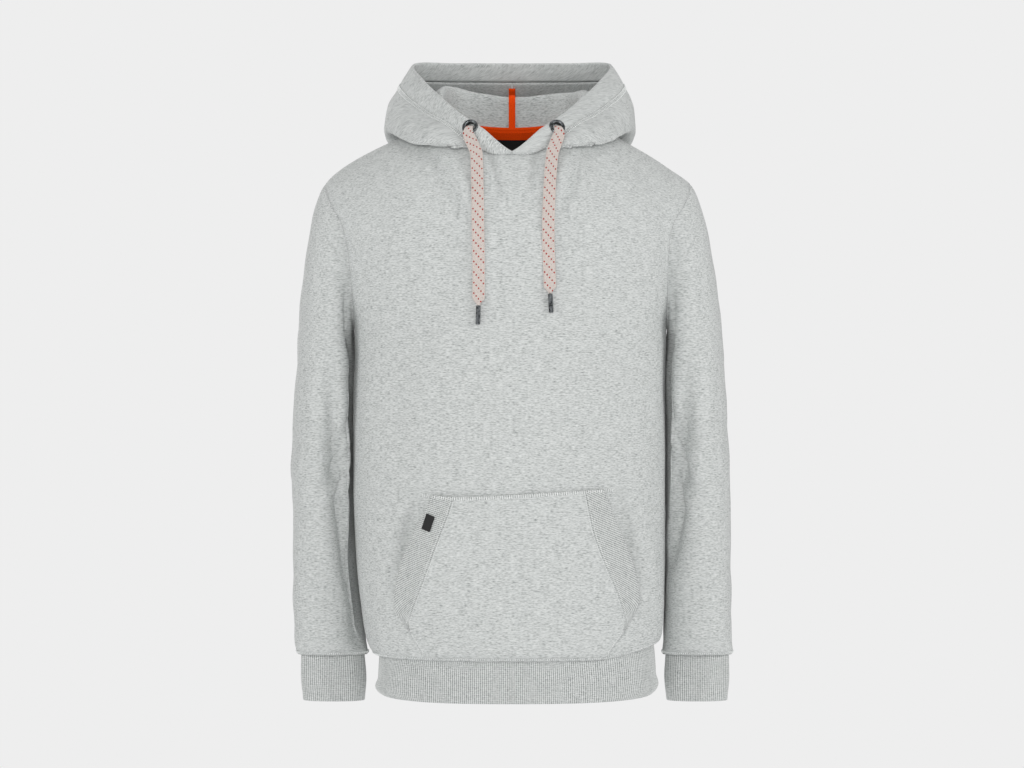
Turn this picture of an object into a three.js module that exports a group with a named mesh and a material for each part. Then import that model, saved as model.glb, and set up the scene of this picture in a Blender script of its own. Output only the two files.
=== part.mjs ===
// Pullover hoodie in fleece, filled out and hollow: sleeves hanging, hood lying open behind the neck.
// Millimetres, +Z up, front towards -Y; left and right are the wearer's, so left is +X.
// The origin is the middle of the neck opening, level with the high points of the shoulders.
import * as THREE from "three";

// Cloth and seams
const FLEECE = 2.2;
const RIB_WALL = 2.0;
const RIB_RISE = 0.7;
const SEAM_GAP = 0.4;
const BAND_THICK = 4;
const TAPE_THICK = 0.9;
const TAPE_HALF = 7;

// Neck opening
const NECK_HALF = 88;
const NECK_DROP_FRONT = 56;
const NECK_DROP_BACK = 15;
const BACK_RISE = 12;
const SHOULDER_ROUND = 150;
const SQUARENESS = 2.3;

// Lengths down from the origin
const HEM_TOP = -694.5;
const HEM_BOTTOM = -750;
const CUFF_SEAM = -694;
const CUFF_BOTTOM = -757;

// Drawcords, their tips and the eyelets
const CORD_WIDTH = 16;
const CORD_THICK = 2.4;
const AGLET_RADIUS = 2.9;
const AGLET_LENGTH = 24.5;
const EYELET_RADIUS = 10.5;
const EYELET_HOLE = 6;
const EYELET_HEIGHT = 2.2;

// Body sections: half-widths towards the wearer's right and left, depths of the front and the back
const BODY = [
  { z: -697, right: 176, left: 187, front: 130, back: 115 },
  { z: -688, right: 184, left: 192, front: 136, back: 120 },
  { z: -672, right: 190, left: 195, front: 140, back: 123 },
  { z: -640, right: 195, left: 197, front: 142, back: 123 },
  { z: -560, right: 203, left: 199, front: 142, back: 121 },
  { z: -460, right: 206, left: 199, front: 142, back: 119 },
  { z: -360, right: 206, left: 199, front: 143, back: 118 },
  { z: -300, right: 204, left: 200, front: 142, back: 119 },
  { z: -275, right: 205, left: 201, front: 141, back: 120 },
  { z: -254, right: 209, left: 204, front: 140, back: 120 },
  { z: -234, right: 214, left: 208, front: 139, back: 120 },
  { z: -210, right: 220, left: 212, front: 138, back: 120 },
  { z: -186, right: 227, left: 216, front: 137, back: 120 },
  { z: -162, right: 235, left: 223, front: 136, back: 120 },
  { z: -138, right: 251, left: 238, front: 135, back: 120 },
  { z: -117, right: 269, left: 257, front: 135, back: 120 },
  { z: -99, right: 282, left: 269, front: 135, back: 120 },
  { z: -84, right: 295, left: 281, front: 135, back: 120 },
  { z: 20, right: 300, left: 290, front: 135, back: 120 },
];

// Armhole seam from the underarm up to the shoulder point: distance out on each side
const ARMHOLE = [
  { z: -275, right: 205, left: 201 },
  { z: -268, right: 205.2, left: 201.1 },
  { z: -254, right: 205.6, left: 200.8 },
  { z: -234, right: 206.4, left: 200.8 },
  { z: -210, right: 207.8, left: 201 },
  { z: -186, right: 210, left: 201.6 },
  { z: -162, right: 214, left: 203.5 },
  { z: -138, right: 221, left: 209.5 },
  { z: -117, right: 233, left: 222 },
  { z: -99, right: 240, left: 229 },
  { z: -85, right: 242, left: 231 },
];

// Shoulder line from the neck point to the shoulder point
const SHOULDER = [
  { x: 88, right: 0, left: 0 },
  { x: 120, right: -13, left: -15 },
  { x: 150, right: -28, left: -33 },
  { x: 179, right: -42, left: -50 },
  { x: 205, right: -56, left: -67 },
  { x: 231, right: -74, left: -85 },
  { x: 242, right: -85, left: -96 },
];

// Panel columns from the centre out: place at the neck and shoulder edge, and share of the turn at the underarm
const COLUMNS = [
  { top: 0, turn: 0 },
  { top: 26, turn: 0.08 },
  { top: 50, turn: 0.16 },
  { top: 71, turn: 0.24 },
  { top: 84, turn: 0.32 },
  { top: 88, turn: 0.4 },
  { top: 118, turn: 0.5 },
  { top: 148, turn: 0.61 },
  { top: 178, turn: 0.73 },
  { top: 208, turn: 0.86 },
  { top: 242, turn: 1 },
];
const LOWER_ROWS = [-697, -696, -688, -672, -645, -600, -550, -500, -450, -400, -350, -310];
const UPPER_SHARES = [0, 0.04, 0.12, 0.24, 0.37, 0.5, 0.62, 0.74, 0.85, 0.94, 1];

// Large soft folds of the body: place, lean, length, breadth and depth (positive stands out)
const BODY_FOLDS = [
  { face: -1, x: -92, z: -110, lean: -0.35, length: 70, breadth: 17, depth: -4 },
  { face: -1, x: -22, z: -105, lean: 0.4, length: 55, breadth: 14, depth: -3 },
  { face: -1, x: 88, z: -108, lean: 0.4, length: 70, breadth: 17, depth: -4 },
  { face: -1, x: 22, z: -104, lean: -0.3, length: 50, breadth: 14, depth: -3 },
  { face: -1, x: -150, z: -330, lean: 0.25, length: 110, breadth: 26, depth: -3.5 },
  { face: -1, x: 150, z: -340, lean: -0.3, length: 120, breadth: 26, depth: -3.5 },
  { face: -1, x: 0, z: -430, lean: 0, length: 150, breadth: 60, depth: 3 },
  { face: 1, x: -60, z: -300, lean: 0.2, length: 170, breadth: 30, depth: -5 },
  { face: 1, x: 55, z: -330, lean: -0.2, length: 180, breadth: 30, depth: -5 },
  { face: 1, x: 0, z: -600, lean: 0, length: 60, breadth: 90, depth: 5 },
  { face: 1, x: -140, z: -480, lean: 0.3, length: 120, breadth: 26, depth: -4 },
  { face: 1, x: 138, z: -460, lean: -0.3, length: 120, breadth: 26, depth: -4 },
];

// Sleeve sections: outer and inner sides, middle from front to back, half depth and turn in degrees
const SLEEVES = {
  right: [
    { z: -320, outer: 280, inner: 196, mid: 9, depth: 71, turn: 7 },
    { z: -365, outer: 284, inner: 196, mid: 9, depth: 69, turn: 7 },
    { z: -410, outer: 286, inner: 197, mid: 9, depth: 67, turn: 7 },
    { z: -450, outer: 287, inner: 199, mid: 9, depth: 64, turn: 6 },
    { z: -490, outer: 286, inner: 200, mid: 9, depth: 61, turn: 5 },
    { z: -530, outer: 285, inner: 198, mid: 9, depth: 58, turn: 4 },
    { z: -575, outer: 285, inner: 195, mid: 9, depth: 55, turn: 3 },
    { z: -620, outer: 285, inner: 192, mid: 10, depth: 52, turn: 2 },
    { z: -655, outer: 284, inner: 190.5, mid: 11, depth: 49, turn: 1 },
    { z: -680, outer: 283, inner: 189, mid: 12, depth: 46, turn: 0 },
    { z: -691, outer: 281, inner: 187.5, mid: 12, depth: 40, turn: 0 },
    { z: -697, outer: 279, inner: 188, mid: 12, depth: 33, turn: 0 },
  ],
  left: [
    { z: -320, outer: 276, inner: 192, mid: 9, depth: 71, turn: 7 },
    { z: -365, outer: 279, inner: 192, mid: 9, depth: 69, turn: 7 },
    { z: -410, outer: 281, inner: 193, mid: 9, depth: 67, turn: 7 },
    { z: -450, outer: 283, inner: 195, mid: 9, depth: 64, turn: 6 },
    { z: -490, outer: 284, inner: 197, mid: 9, depth: 61, turn: 5 },
    { z: -530, outer: 285, inner: 198, mid: 9, depth: 58, turn: 4 },
    { z: -575, outer: 285, inner: 198, mid: 9, depth: 55, turn: 3 },
    { z: -620, outer: 285, inner: 198, mid: 10, depth: 52, turn: 2 },
    { z: -655, outer: 285.5, inner: 198.5, mid: 11, depth: 49, turn: 1 },
    { z: -680, outer: 286.5, inner: 197.5, mid: 12, depth: 46, turn: 0 },
    { z: -691, outer: 287.5, inner: 196, mid: 12, depth: 40, turn: 0 },
    { z: -697, outer: 286.8, inner: 196, mid: 12, depth: 33, turn: 0 },
  ],
};
const CAP_SHARES = [0, 0.1, 0.24, 0.4, 0.56, 0.72, 0.87];
// Soft elbow folds: height on the sleeve, place round it in degrees from the outer side, and size
const SLEEVE_FOLDS = [
  { side: "right", z: -470, at: 95, slope: 0.9, breadth: 16, reach: 42, depth: -6 },
  { side: "right", z: -410, at: 120, slope: 0.9, breadth: 16, reach: 40, depth: -4 },
  { side: "right", z: -500, at: 250, slope: -0.6, breadth: 18, reach: 50, depth: -5 },
  { side: "left", z: -485, at: 95, slope: 0.8, breadth: 18, reach: 44, depth: -6 },
  { side: "left", z: -400, at: 118, slope: 0.8, breadth: 16, reach: 40, depth: -4 },
  { side: "left", z: -495, at: 245, slope: -0.6, breadth: 18, reach: 50, depth: -5 },
];

// Hood sections round the neck from the front to the middle of the back. Each has its angle round
// the neck, then the points of the cloth from above the neck seam to the band seam, and the edge.
const HOOD = [
  {
    angle: 30,
    stand: [44.6, -100, -47],
    crest: [44.8, -100.1, -46.6],
    fall: [45, -100.2, -46.2],
    low: [45.2, -100.3, -45.8],
    under: [45.4, -100.4, -45.4],
    bulge: [45.6, -100.5, -45],
    upper: [45.8, -100.4, -44.4],
    join: [46, -100, -43.4],
    edge: [35, -98, -21.5],
  },
  {
    angle: 54.9,
    stand: [76, -86.5, -33],
    crest: [81, -92, -35],
    fall: [86, -97, -39],
    low: [91, -101, -43],
    under: [95, -102, -42],
    bulge: [97, -99.5, -35],
    upper: [92, -91, -22],
    join: [81, -78, -13],
    edge: [66, -71, 1.7],
  },
  {
    angle: 68.7,
    stand: [83, -69, -19],
    crest: [86, -73, -22],
    fall: [93, -79, -27],
    low: [107, -84, -36],
    under: [119, -84.5, -40],
    bulge: [128, -76, -33],
    upper: [124, -60, -12],
    join: [104, -47, 2],
    edge: [88, -41, 22],
  },
  {
    angle: 90,
    stand: [88, 5, 16],
    crest: [91, 10, 33],
    fall: [100, 11, 31],
    low: [125, 5, -1],
    under: [147, 4, -20],
    bulge: [160, 6, -17],
    upper: [155, 9, 14],
    join: [140, 12, 34],
    edge: [115, 10, 51],
  },
  {
    angle: 131.4,
    stand: [70, 57, 16],
    crest: [76, 64, 41],
    fall: [89, 74, 34],
    low: [108, 88, -22],
    under: [129, 116, -62],
    bulge: [152, 118, -34],
    upper: [153, 103, 22],
    join: [141, 88, 55],
    edge: [129, 76, 78.5],
  },
  {
    angle: 155.8,
    stand: [38, 70, 14],
    crest: [41, 75, 39],
    fall: [47, 87, 31],
    low: [58, 113, -42],
    under: [68, 144, -108],
    bulge: [84, 170, -58],
    upper: [86, 152, 12],
    join: [78, 109, 57],
    edge: [75, 97, 80.8],
  },
  {
    angle: 180,
    stand: [0, 74, 14],
    crest: [0, 78, 38.5],
    fall: [0, 90, 30],
    low: [0, 116, -45],
    under: [0, 148, -124],
    bulge: [0, 180, -72],
    upper: [0, 160, 5],
    join: [0, 113, 57],
    edge: [0, 103, 81],
  },
];
// The band in front of the first hood section, where it is sewn to the neck seam
const BAND_FRONT = [
  { angle: 0, edge: [0.3, -108, -52] },
  { angle: 14, edge: [18, -103.5, -37] },
];
const HOOD_POINTS = ["stand", "crest", "fall", "low", "under", "bulge", "upper", "join"];
const HOOD_COLUMNS = 13;
const HOOD_ROWS = 17;
const HOOD_LEAN = 4.5;
const FRONT_STOPS = 4;
const EYELET_STOP = FRONT_STOPS + 1;

// Hem rib and cuffs: top and bottom sections
const HEM = [
  { z: HEM_TOP, right: 171.5, left: 183, front: 125.5, back: 111 },
  { z: HEM_BOTTOM, right: 174, left: 186, front: 128, back: 114 },
];
const CUFFS = {
  right: [
    { z: CUFF_SEAM, x: -233.6, mid: 12, width: 40.5, depth: 25 },
    { z: CUFF_BOTTOM, x: -232, mid: 12, width: 39.5, depth: 25.5 },
  ],
  left: [
    { z: CUFF_SEAM, x: 241.4, mid: 12, width: 40.5, depth: 25 },
    { z: CUFF_BOTTOM, x: 241, mid: 12, width: 39, depth: 25.5 },
  ],
};
const HEM_RIBS = 340;
const CUFF_RIBS = 76;

// Kangaroo pocket: edge of the pocket cloth (seam with the rib trim) and outer edge of the trim
const POCKET = [
  { z: -480, right: -73, left: 91.5, right_out: -100.5, left_out: 115 },
  { z: -500, right: -78, left: 94, right_out: -107, left_out: 121 },
  { z: -530, right: -87.5, left: 99, right_out: -120, left_out: 131 },
  { z: -565, right: -99, left: 110, right_out: -133, left_out: 144 },
  { z: -600, right: -111, left: 124.5, right_out: -141.5, left_out: 153.5 },
  { z: -618, right: -118, left: 132, right_out: -144.5, left_out: 157 },
  { z: -636, right: -125, left: 138.5, right_out: -143, left_out: 152 },
  { z: -652, right: -130, left: 142, right_out: -131.5, left_out: 144 },
  { z: -684, right: -114, left: 123, right_out: -114, left_out: 123 },
];
const POCKET_ROWS = [-684, -668, -652, -636, -618, -600, -565, -530, -500, -480];
const POCKET_COLUMNS = 13;
const POCKET_LIFT = 1.6;
const POCKET_GAPE = 8;
const TRIM_RIBS = 50;
const POCKET_LABEL = { x: -101.5, z: -515, width: 10.5, height: 21, lean: -0.29 };

// Drawcord lines: height, place across and how far the middle of the cord stands off the chest
const CORDS = {
  right: [
    { z: -50, x: -53, off: 11 },
    { z: -62, x: -50, off: 9 },
    { z: -80, x: -47, off: 4.4 },
    { z: -105, x: -44.5, off: 3.2 },
    { z: -140, x: -43, off: 2.8 },
    { z: -180, x: -42.2, off: 2.6 },
    { z: -215, x: -42, off: 2.6 },
    { z: -238, x: -42.2, off: 3.6 },
    { z: -246.5, x: -42.4, off: 4.6 },
  ],
  left: [
    { z: -50, x: 54, off: 11 },
    { z: -62, x: 51, off: 9 },
    { z: -80, x: 49, off: 4.4 },
    { z: -105, x: 47.2, off: 3.2 },
    { z: -135, x: 46, off: 2.8 },
    { z: -170, x: 46, off: 2.6 },
    { z: -200, x: 47, off: 2.6 },
    { z: -223, x: 47.8, off: 3.6 },
    { z: -231.5, x: 48.2, off: 4.6 },
  ],
};

const heather = new THREE.MeshStandardMaterial({ color: 0xc4c8c7, roughness: 0.95, metalness: 0 });
const ribbed = new THREE.MeshStandardMaterial({ color: 0xbfc2c1, roughness: 0.95, metalness: 0 });
const orange = new THREE.MeshStandardMaterial({ color: 0xe4480f, roughness: 0.8, metalness: 0 });
const black = new THREE.MeshStandardMaterial({ color: 0x17171a, roughness: 0.8, metalness: 0 });
const cream = new THREE.MeshStandardMaterial({ color: 0xd9cfc9, roughness: 0.85, metalness: 0 });
const gunmetal = new THREE.MeshStandardMaterial({ color: 0x4b4f50, roughness: 0.35, metalness: 0.9 });

const vec = (x, y, z) => new THREE.Vector3(x, y, z);
const side = (x) => (x < 0 ? "right" : "left");
const clamp = (v, low, high) => Math.min(high, Math.max(low, v));

// Value of a table column at a place, smooth between rows and without overshoot.
function look(table, key, column, at) {
  const rows = [...table].sort((a, b) => a[key] - b[key]);
  const last = rows.length - 1;
  if (at <= rows[0][key]) return rows[0][column];
  if (at >= rows[last][key]) return rows[last][column];
  let i = 0;
  while (rows[i + 1][key] < at) i += 1;
  const slope = (k) => (rows[k + 1][column] - rows[k][column]) / (rows[k + 1][key] - rows[k][key]);
  const tangent = (k) => {
    if (k === 0) return slope(0);
    if (k === last) return slope(last - 1);
    const a = slope(k - 1);
    const b = slope(k);
    return a * b <= 0 ? 0 : (2 * a * b) / (a + b);
  };
  const step = rows[i + 1][key] - rows[i][key];
  const t = (at - rows[i][key]) / step;
  const rise = t * t * (3 - 2 * t);
  const bend = step * (t * (1 - t) * (1 - t) * tangent(i) - t * t * (1 - t) * tangent(i + 1));
  return rows[i][column] * (1 - rise) + rows[i + 1][column] * rise + bend;
}

// Soft folds of one face of the body at a place.
function bodyFold(face, x, z) {
  return BODY_FOLDS.filter((f) => f.face === face).reduce((sum, f) => {
    const along = z - f.z;
    const across = x - f.x - f.lean * along;
    return sum + f.depth * Math.exp(-((across / f.breadth) ** 2) - (along / f.length) ** 2);
  }, 0);
}

// Height of the shoulder line, and of the surface it continues over the neck opening.
function ridge(face, x) {
  const out = Math.abs(x);
  if (out > NECK_HALF) return look(SHOULDER, "x", side(x), out);
  return face > 0 ? BACK_RISE * (1 - (out / NECK_HALF) ** 2) : 0;
}

// Distance of the body's cloth in front of (face -1) or behind (face 1) the shoulder line.
function bodyDepth(face, x, z) {
  const half = look(BODY, "z", side(x), z);
  const depth = look(BODY, "z", face < 0 ? "front" : "back", z);
  const round = Math.pow(1 - Math.pow(clamp(Math.abs(x) / half, 0, 1), SQUARENESS), 1 / SQUARENESS);
  const down = clamp((ridge(face, x) - z) / SHOULDER_ROUND, 0, 1);
  const over = Math.sqrt(1 - (1 - down) ** 2);
  return (depth + bodyFold(face, x, z)) * round * over;
}

function bodyPoint(face, x, z) {
  return vec(x, face * (bodyDepth(face, x, z) + SEAM_GAP / 2), z);
}

// Outward direction of the body's cloth at a place.
function bodyNormal(face, x, z) {
  const step = 1;
  const slopeX = (bodyDepth(face, x + step, z) - bodyDepth(face, x - step, z)) / (2 * step);
  const slopeZ = (bodyDepth(face, x, z + step) - bodyDepth(face, x, z - step)) / (2 * step);
  return vec(-slopeX, face, -slopeZ).normalize();
}

// Point of the neck seam at an angle round the neck, 0 at the front and 180 at the back.
function neckPoint(degrees, sign) {
  const angle = (degrees * Math.PI) / 180;
  const x = sign * NECK_HALF * Math.sin(angle);
  const drop = Math.abs(Math.cos(angle)) * (degrees < 90 ? NECK_DROP_FRONT : NECK_DROP_BACK);
  return bodyPoint(degrees < 90 ? -1 : 1, x, -drop);
}

// Outward directions at the points of a grid; turn is 1 or -1 and loop joins the last column to the first.
function normals(grid, turn, loop) {
  return grid.map((row, i) =>
    row.map((_, j) => {
      const n = row.length;
      const up = grid[Math.min(i + 1, grid.length - 1)][j].clone().sub(grid[Math.max(i - 1, 0)][j]);
      const next = loop ? row[(j + 1) % n] : row[Math.min(j + 1, n - 1)];
      const before = loop ? row[(j + n - 1) % n] : row[Math.max(j - 1, 0)];
      return next.clone().sub(before).cross(up).multiplyScalar(turn).normalize();
    }),
  );
}

function moved(grid, directions, distance) {
  return grid.map((row, i) => row.map((p, j) => p.clone().addScaledVector(directions[i][j], distance)));
}

// Triangles between two rows of vertex numbers, which may hold different counts.
function zip(index, a, b) {
  let i = 0;
  let j = 0;
  while (i < a.length - 1 || j < b.length - 1) {
    const nextA = i < a.length - 1 ? (i + 1) / (a.length - 1) : 2;
    const nextB = j < b.length - 1 ? (j + 1) / (b.length - 1) : 2;
    if (nextA < nextB + 1e-9) {
      index.push(a[i], a[i + 1], b[j]);
      i += 1;
    } else {
      index.push(a[i], b[j + 1], b[j]);
      j += 1;
    }
  }
}

// A named mesh from points and triangles, turned so that its faces point out.
function mesh(name, points, index, material) {
  let volume = 0;
  for (let k = 0; k < index.length; k += 3) {
    volume += points[index[k]].dot(points[index[k + 1]].clone().cross(points[index[k + 2]]));
  }
  if (volume < 0) index.reverse();
  const geometry = new THREE.BufferGeometry().setFromPoints(points);
  geometry.setIndex(index);
  geometry.computeVertexNormals();
  const made = new THREE.Mesh(geometry, material);
  made.name = name;
  return made;
}

// Closed wall from its outer rows and its inner rows; loop closes each row into a ring.
function wall(name, outer, inner, loop, material) {
  const rows = [...outer, ...[...inner].reverse()];
  const points = [];
  const numbers = rows.map((row) => {
    const first = points.length;
    points.push(...row);
    const own = row.map((_, j) => first + j);
    return loop ? [...own, first] : own;
  });
  const index = [];
  numbers.forEach((row, k) => zip(index, row, numbers[(k + 1) % numbers.length]));
  if (!loop) {
    const ends = [(row) => row[0], (row) => row[row.length - 1]];
    ends.forEach((end, which) => {
      for (let k = 0; k < outer.length - 1; k += 1) {
        const quad = [k, k + 1, numbers.length - 2 - k, numbers.length - 1 - k].map((r) => end(numbers[r]));
        if (which === 0) quad.reverse();
        index.push(quad[0], quad[2], quad[1], quad[0], quad[3], quad[2]);
      }
    });
  }
  return mesh(name, points, index, material);
}

// Solid bar through closed sections, with flat ends.
function bar(name, sections, material) {
  const n = sections[0].length;
  const points = sections.flat();
  const index = [];
  for (let i = 0; i < sections.length - 1; i += 1) {
    for (let j = 0; j < n; j += 1) {
      const a = i * n + j;
      const b = i * n + ((j + 1) % n);
      index.push(a, b, a + n, b, b + n, a + n);
    }
  }
  const last = (sections.length - 1) * n;
  for (let j = 1; j < n - 1; j += 1) {
    index.push(0, j + 1, j, last, last + j, last + j + 1);
  }
  return mesh(name, points, index, material);
}

// Outer points of a body panel, from the hem seam up to the neck and shoulder edge.
function panelGrid(face) {
  const signed = (sign) => COLUMNS.map((c) => ({ ...c, sign }));
  const columns = [...signed(-1).slice(1).reverse(), ...signed(1)];
  const across = (c, z) => {
    const half = look(BODY, "z", side(c.sign), z);
    return c.sign * half * Math.pow(Math.sin((c.turn * Math.PI) / 2), 2 / SQUARENESS);
  };
  const lower = LOWER_ROWS.map((z, i) =>
    columns.map((c) => {
      const p = bodyPoint(face, across(c, z), z);
      if (i > 0) return p;
      const hem = hemRing(RIB_RISE + 1.7);
      const angle = Math.atan2(p.x, -p.y);
      return hem(angle, LOWER_ROWS[0] + 1.5);
    }),
  );
  const shoulderPoint = ARMHOLE[ARMHOLE.length - 1];
  const upper = UPPER_SHARES.map((share, i) =>
    columns.map((c) => {
      const which = side(c.sign);
      const start = vec(across(c, ARMHOLE[0].z), 0, ARMHOLE[0].z);
      const topX = c.sign * Math.min(c.top, shoulderPoint[which]);
      const scale = c.top > NECK_HALF ? (shoulderPoint[which] - NECK_HALF) / (242 - NECK_HALF) : 1;
      const x = c.top > NECK_HALF ? c.sign * (NECK_HALF + (c.top - NECK_HALF) * scale) : topX;
      const drop = face < 0 ? NECK_DROP_FRONT : NECK_DROP_BACK;
      const z = c.top > NECK_HALF ? ridge(face, x) : -drop * Math.sqrt(Math.max(0, 1 - (x / NECK_HALF) ** 2));
      const end = vec(x, 0, z);
      const p = start.clone().lerp(end, share);
      const edge = ARMHOLE[i];
      const weight = Math.pow(c.turn, 1.6);
      const sideStart = ARMHOLE[0];
      p.x += c.sign * weight * (edge[which] - sideStart[which] - share * (shoulderPoint[which] - sideStart[which]));
      p.z += weight * (edge.z - sideStart.z - share * (shoulderPoint.z - sideStart.z));
      return bodyPoint(face, p.x, i === UPPER_SHARES.length - 1 ? p.z : Math.min(p.z, ridge(face, p.x) - 0.05));
    }),
  );
  return [...lower, ...upper];
}

// Outward directions of a panel, level with the seam plane where it meets the other panel.
function panelNormals(face, grid) {
  const made = normals(grid, -face, false);
  const last = grid.length - 1;
  made.forEach((row, i) =>
    row.forEach((n, j) => {
      const sideSeam = (j === 0 || j === row.length - 1) && i <= LOWER_ROWS.length;
      const shoulder = i === last && Math.abs(grid[i][j].x) >= NECK_HALF - 0.01;
      if (sideSeam || shoulder) n.setY(0).normalize();
    }),
  );
  return made;
}

// Hem rib surface at a turn round the body (0 at the front) and a height, moved out by a distance.
function hemRing(out) {
  return (angle, z) => {
    const s = Math.sin(angle);
    const c = Math.cos(angle);
    const half = look(HEM, "z", s < 0 ? "right" : "left", z) + out;
    const depth = look(HEM, "z", c > 0 ? "front" : "back", z) + out;
    const size = Math.pow(Math.abs(s / half) ** SQUARENESS + Math.abs(c / depth) ** SQUARENESS, -1 / SQUARENESS);
    return vec(size * s, -size * c, z);
  };
}

// Rib-knit tube from a surface of turn and height: ribs stand out on the outer side, the inside is plain.
function ribTube(name, surface, ribs, heights, inside, material) {
  const ring = (count, z, out) =>
    Array.from({ length: count }, (_, k) => surface((k / count) * 2 * Math.PI, z, out(k)));
  const outer = heights.map((z) => ring(ribs * 2, z, (k) => (k % 2 ? RIB_RISE : 0)));
  const inner = heights.map((z) => ring(inside, z, () => -RIB_WALL));
  return wall(name, outer, inner, true, material);
}

function sleeveSection(which, row) {
  const sign = which === "right" ? -1 : 1;
  const half = (row.outer - row.inner) / 2;
  const centre = (row.outer + row.inner) / 2;
  const turn = (row.turn * Math.PI) / 180;
  return (angle) => {
    const c = Math.cos(angle);
    const s = Math.sin(angle);
    const a = half * Math.sign(c) * Math.pow(Math.abs(c), 2 / SQUARENESS);
    const b = -row.depth * Math.sign(s) * Math.pow(Math.abs(s), 2 / SQUARENESS);
    const fold = SLEEVE_FOLDS.filter((f) => f.side === which).reduce((sum, f) => {
      const off = (angle * 180) / Math.PI - f.at;
      const up = row.z - f.z - f.slope * off;
      return sum + f.depth * Math.exp(-((up / f.breadth) ** 2) - (off / f.reach) ** 2);
    }, 0);
    const grow = 1 + fold / Math.hypot(half, row.depth);
    const x = centre + (a * Math.cos(turn) + b * Math.sin(turn)) * grow;
    const y = row.mid + (b * Math.cos(turn) - a * Math.sin(turn) * 0.4) * grow;
    return clearOfBody(vec(sign * x, y, row.z), 3);
  };
}

// A point moved out of the body and its hem, straight away from the middle, so that it clears them.
function clearOfBody(p, room) {
  const half = look(BODY, "z", side(p.x), p.z) + room;
  const depth = look(BODY, "z", p.y < 0 ? "front" : "back", p.z) + room;
  const near = Math.pow(
    Math.abs(p.x / half) ** SQUARENESS + Math.abs(p.y / depth) ** SQUARENESS,
    1 / SQUARENESS,
  );
  if (near >= 1) return p;
  return vec(p.x / near, p.y / near, p.z);
}

// Ring of the armhole on one side: shoulder point, down the front, underarm, up the back.
function armhole(sign, front, frontNormals, back, backNormals) {
  const base = LOWER_ROWS.length;
  const column = sign < 0 ? 0 : front[0].length - 1;
  const inward = sign < 0 ? 1 : -1;
  const pick = (grid, directions, i) => {
    const at = grid[base + i][column];
    const away = at.clone().sub(grid[base + i][column + inward]);
    const normal = directions[base + i][column].clone();
    away.addScaledVector(normal, -away.dot(normal)).normalize();
    return { at, normal, away };
  };
  const steps = UPPER_SHARES.length - 1;
  const ring = [];
  for (let i = steps; i > 0; i -= 1) ring.push(pick(front, frontNormals, i));
  for (let i = 0; i < steps; i += 1) ring.push(pick(back, backNormals, i));
  const top = ring[0];
  top.at = top.at.clone().setY(0);
  const low = ring[steps];
  low.at = low.at.clone().setY(0);
  low.normal = vec(0, 0, -1);
  low.away = vec(sign, 0, 0);
  low.at.x += sign * 0.4;
  low.at.z += 0.9;
  return ring;
}

function sleeve(which, ring) {
  const sign = which === "right" ? -1 : 1;
  const table = SLEEVES[which];
  const count = ring.length;
  const angle = (j) => (j / count) * 2 * Math.PI;
  const first = sleeveSection(which, table[0]);
  const cap = CAP_SHARES.map((t) =>
    ring.map((r, j) => {
      const high = (1 + Math.cos(angle(j))) / 2;
      const p0 = r.at.clone().addScaledVector(r.away, SEAM_GAP + 0.2);
      const p1 = first(angle(j));
      const start = vec(sign, 0, -0.62 * high - 0.05).normalize().multiplyScalar(16 + 66 * high);
      const end = vec(0, 0, -1).multiplyScalar(40 + 160 * high);
      const made = p0.multiplyScalar(1 - 3 * t * t + 2 * t ** 3);
      made.addScaledVector(start, t * (1 - t) ** 2);
      made.addScaledVector(p1, t * t * (3 - 2 * t));
      made.addScaledVector(end, -t * t * (1 - t));
      return t > 0.2 && made.z < ARMHOLE[0].z ? clearOfBody(made, 1.5 + 1.5 * t) : made;
    }),
  );
  const lower = table.map((row) => Array.from({ length: count }, (_, j) => sleeveSection(which, row)(angle(j))));
  const grid = [...cap, ...lower];
  const cuff = cuffSurface(which);
  grid.push(Array.from({ length: count }, (_, j) => cuff(angle(j), CUFF_SEAM - 1.4, RIB_RISE + 1.7)));
  const directions = normals(grid, 1, true);
  const out = directions[12][0].x * sign > 0 ? 1 : -1;
  directions.forEach((row) => row.forEach((n) => n.multiplyScalar(out)));
  ring.forEach((r, j) => directions[0][j].copy(r.normal));
  directions[grid.length - 1].forEach((n) => n.set(0, 0, -1));
  return wall(`sleeve_${which}`, grid, moved(grid, directions, -FLEECE), true, heather);
}

// Cuff surface at a turn round the wrist and a height, moved out by a distance.
function cuffSurface(which) {
  const table = CUFFS[which];
  const sign = which === "right" ? -1 : 1;
  return (angle, z, out) => {
    const c = Math.cos(angle);
    const s = Math.sin(angle);
    const half = look(table, "z", "width", z) + out;
    const depth = look(table, "z", "depth", z) + out;
    const size = Math.pow(Math.abs(c / half) ** SQUARENESS + Math.abs(s / depth) ** SQUARENESS, -1 / SQUARENESS);
    return vec(look(table, "z", "x", z) + sign * size * c, look(table, "z", "mid", z) - size * s, z);
  };
}

// Point of the hood's cloth: u runs round the neck from the front section to the back, v up from the seam.
function hoodPoint(sign, u, v) {
  const along = (key) => {
    const line = new THREE.CatmullRomCurve3(HOOD.map((s) => vec(...s[key])));
    return line.getPoint(u);
  };
  const points = [neckPoint(hoodAngle(u), 1), ...HOOD_POINTS.map(along)];
  points[0].z += 0.5;
  const p = new THREE.CatmullRomCurve3(points).getPoint(v);
  const outside = Math.sin(Math.PI * clamp((v - 0.4) / 0.6, 0, 1));
  p.x = sign * p.x - HOOD_LEAN * outside * Math.sin(Math.PI * clamp(u * 1.3, 0, 1));
  return p;
}

function hoodAngle(u) {
  return look(HOOD.map((s, i) => ({ at: i / (HOOD.length - 1), angle: s.angle })), "at", "angle", u);
}

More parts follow.
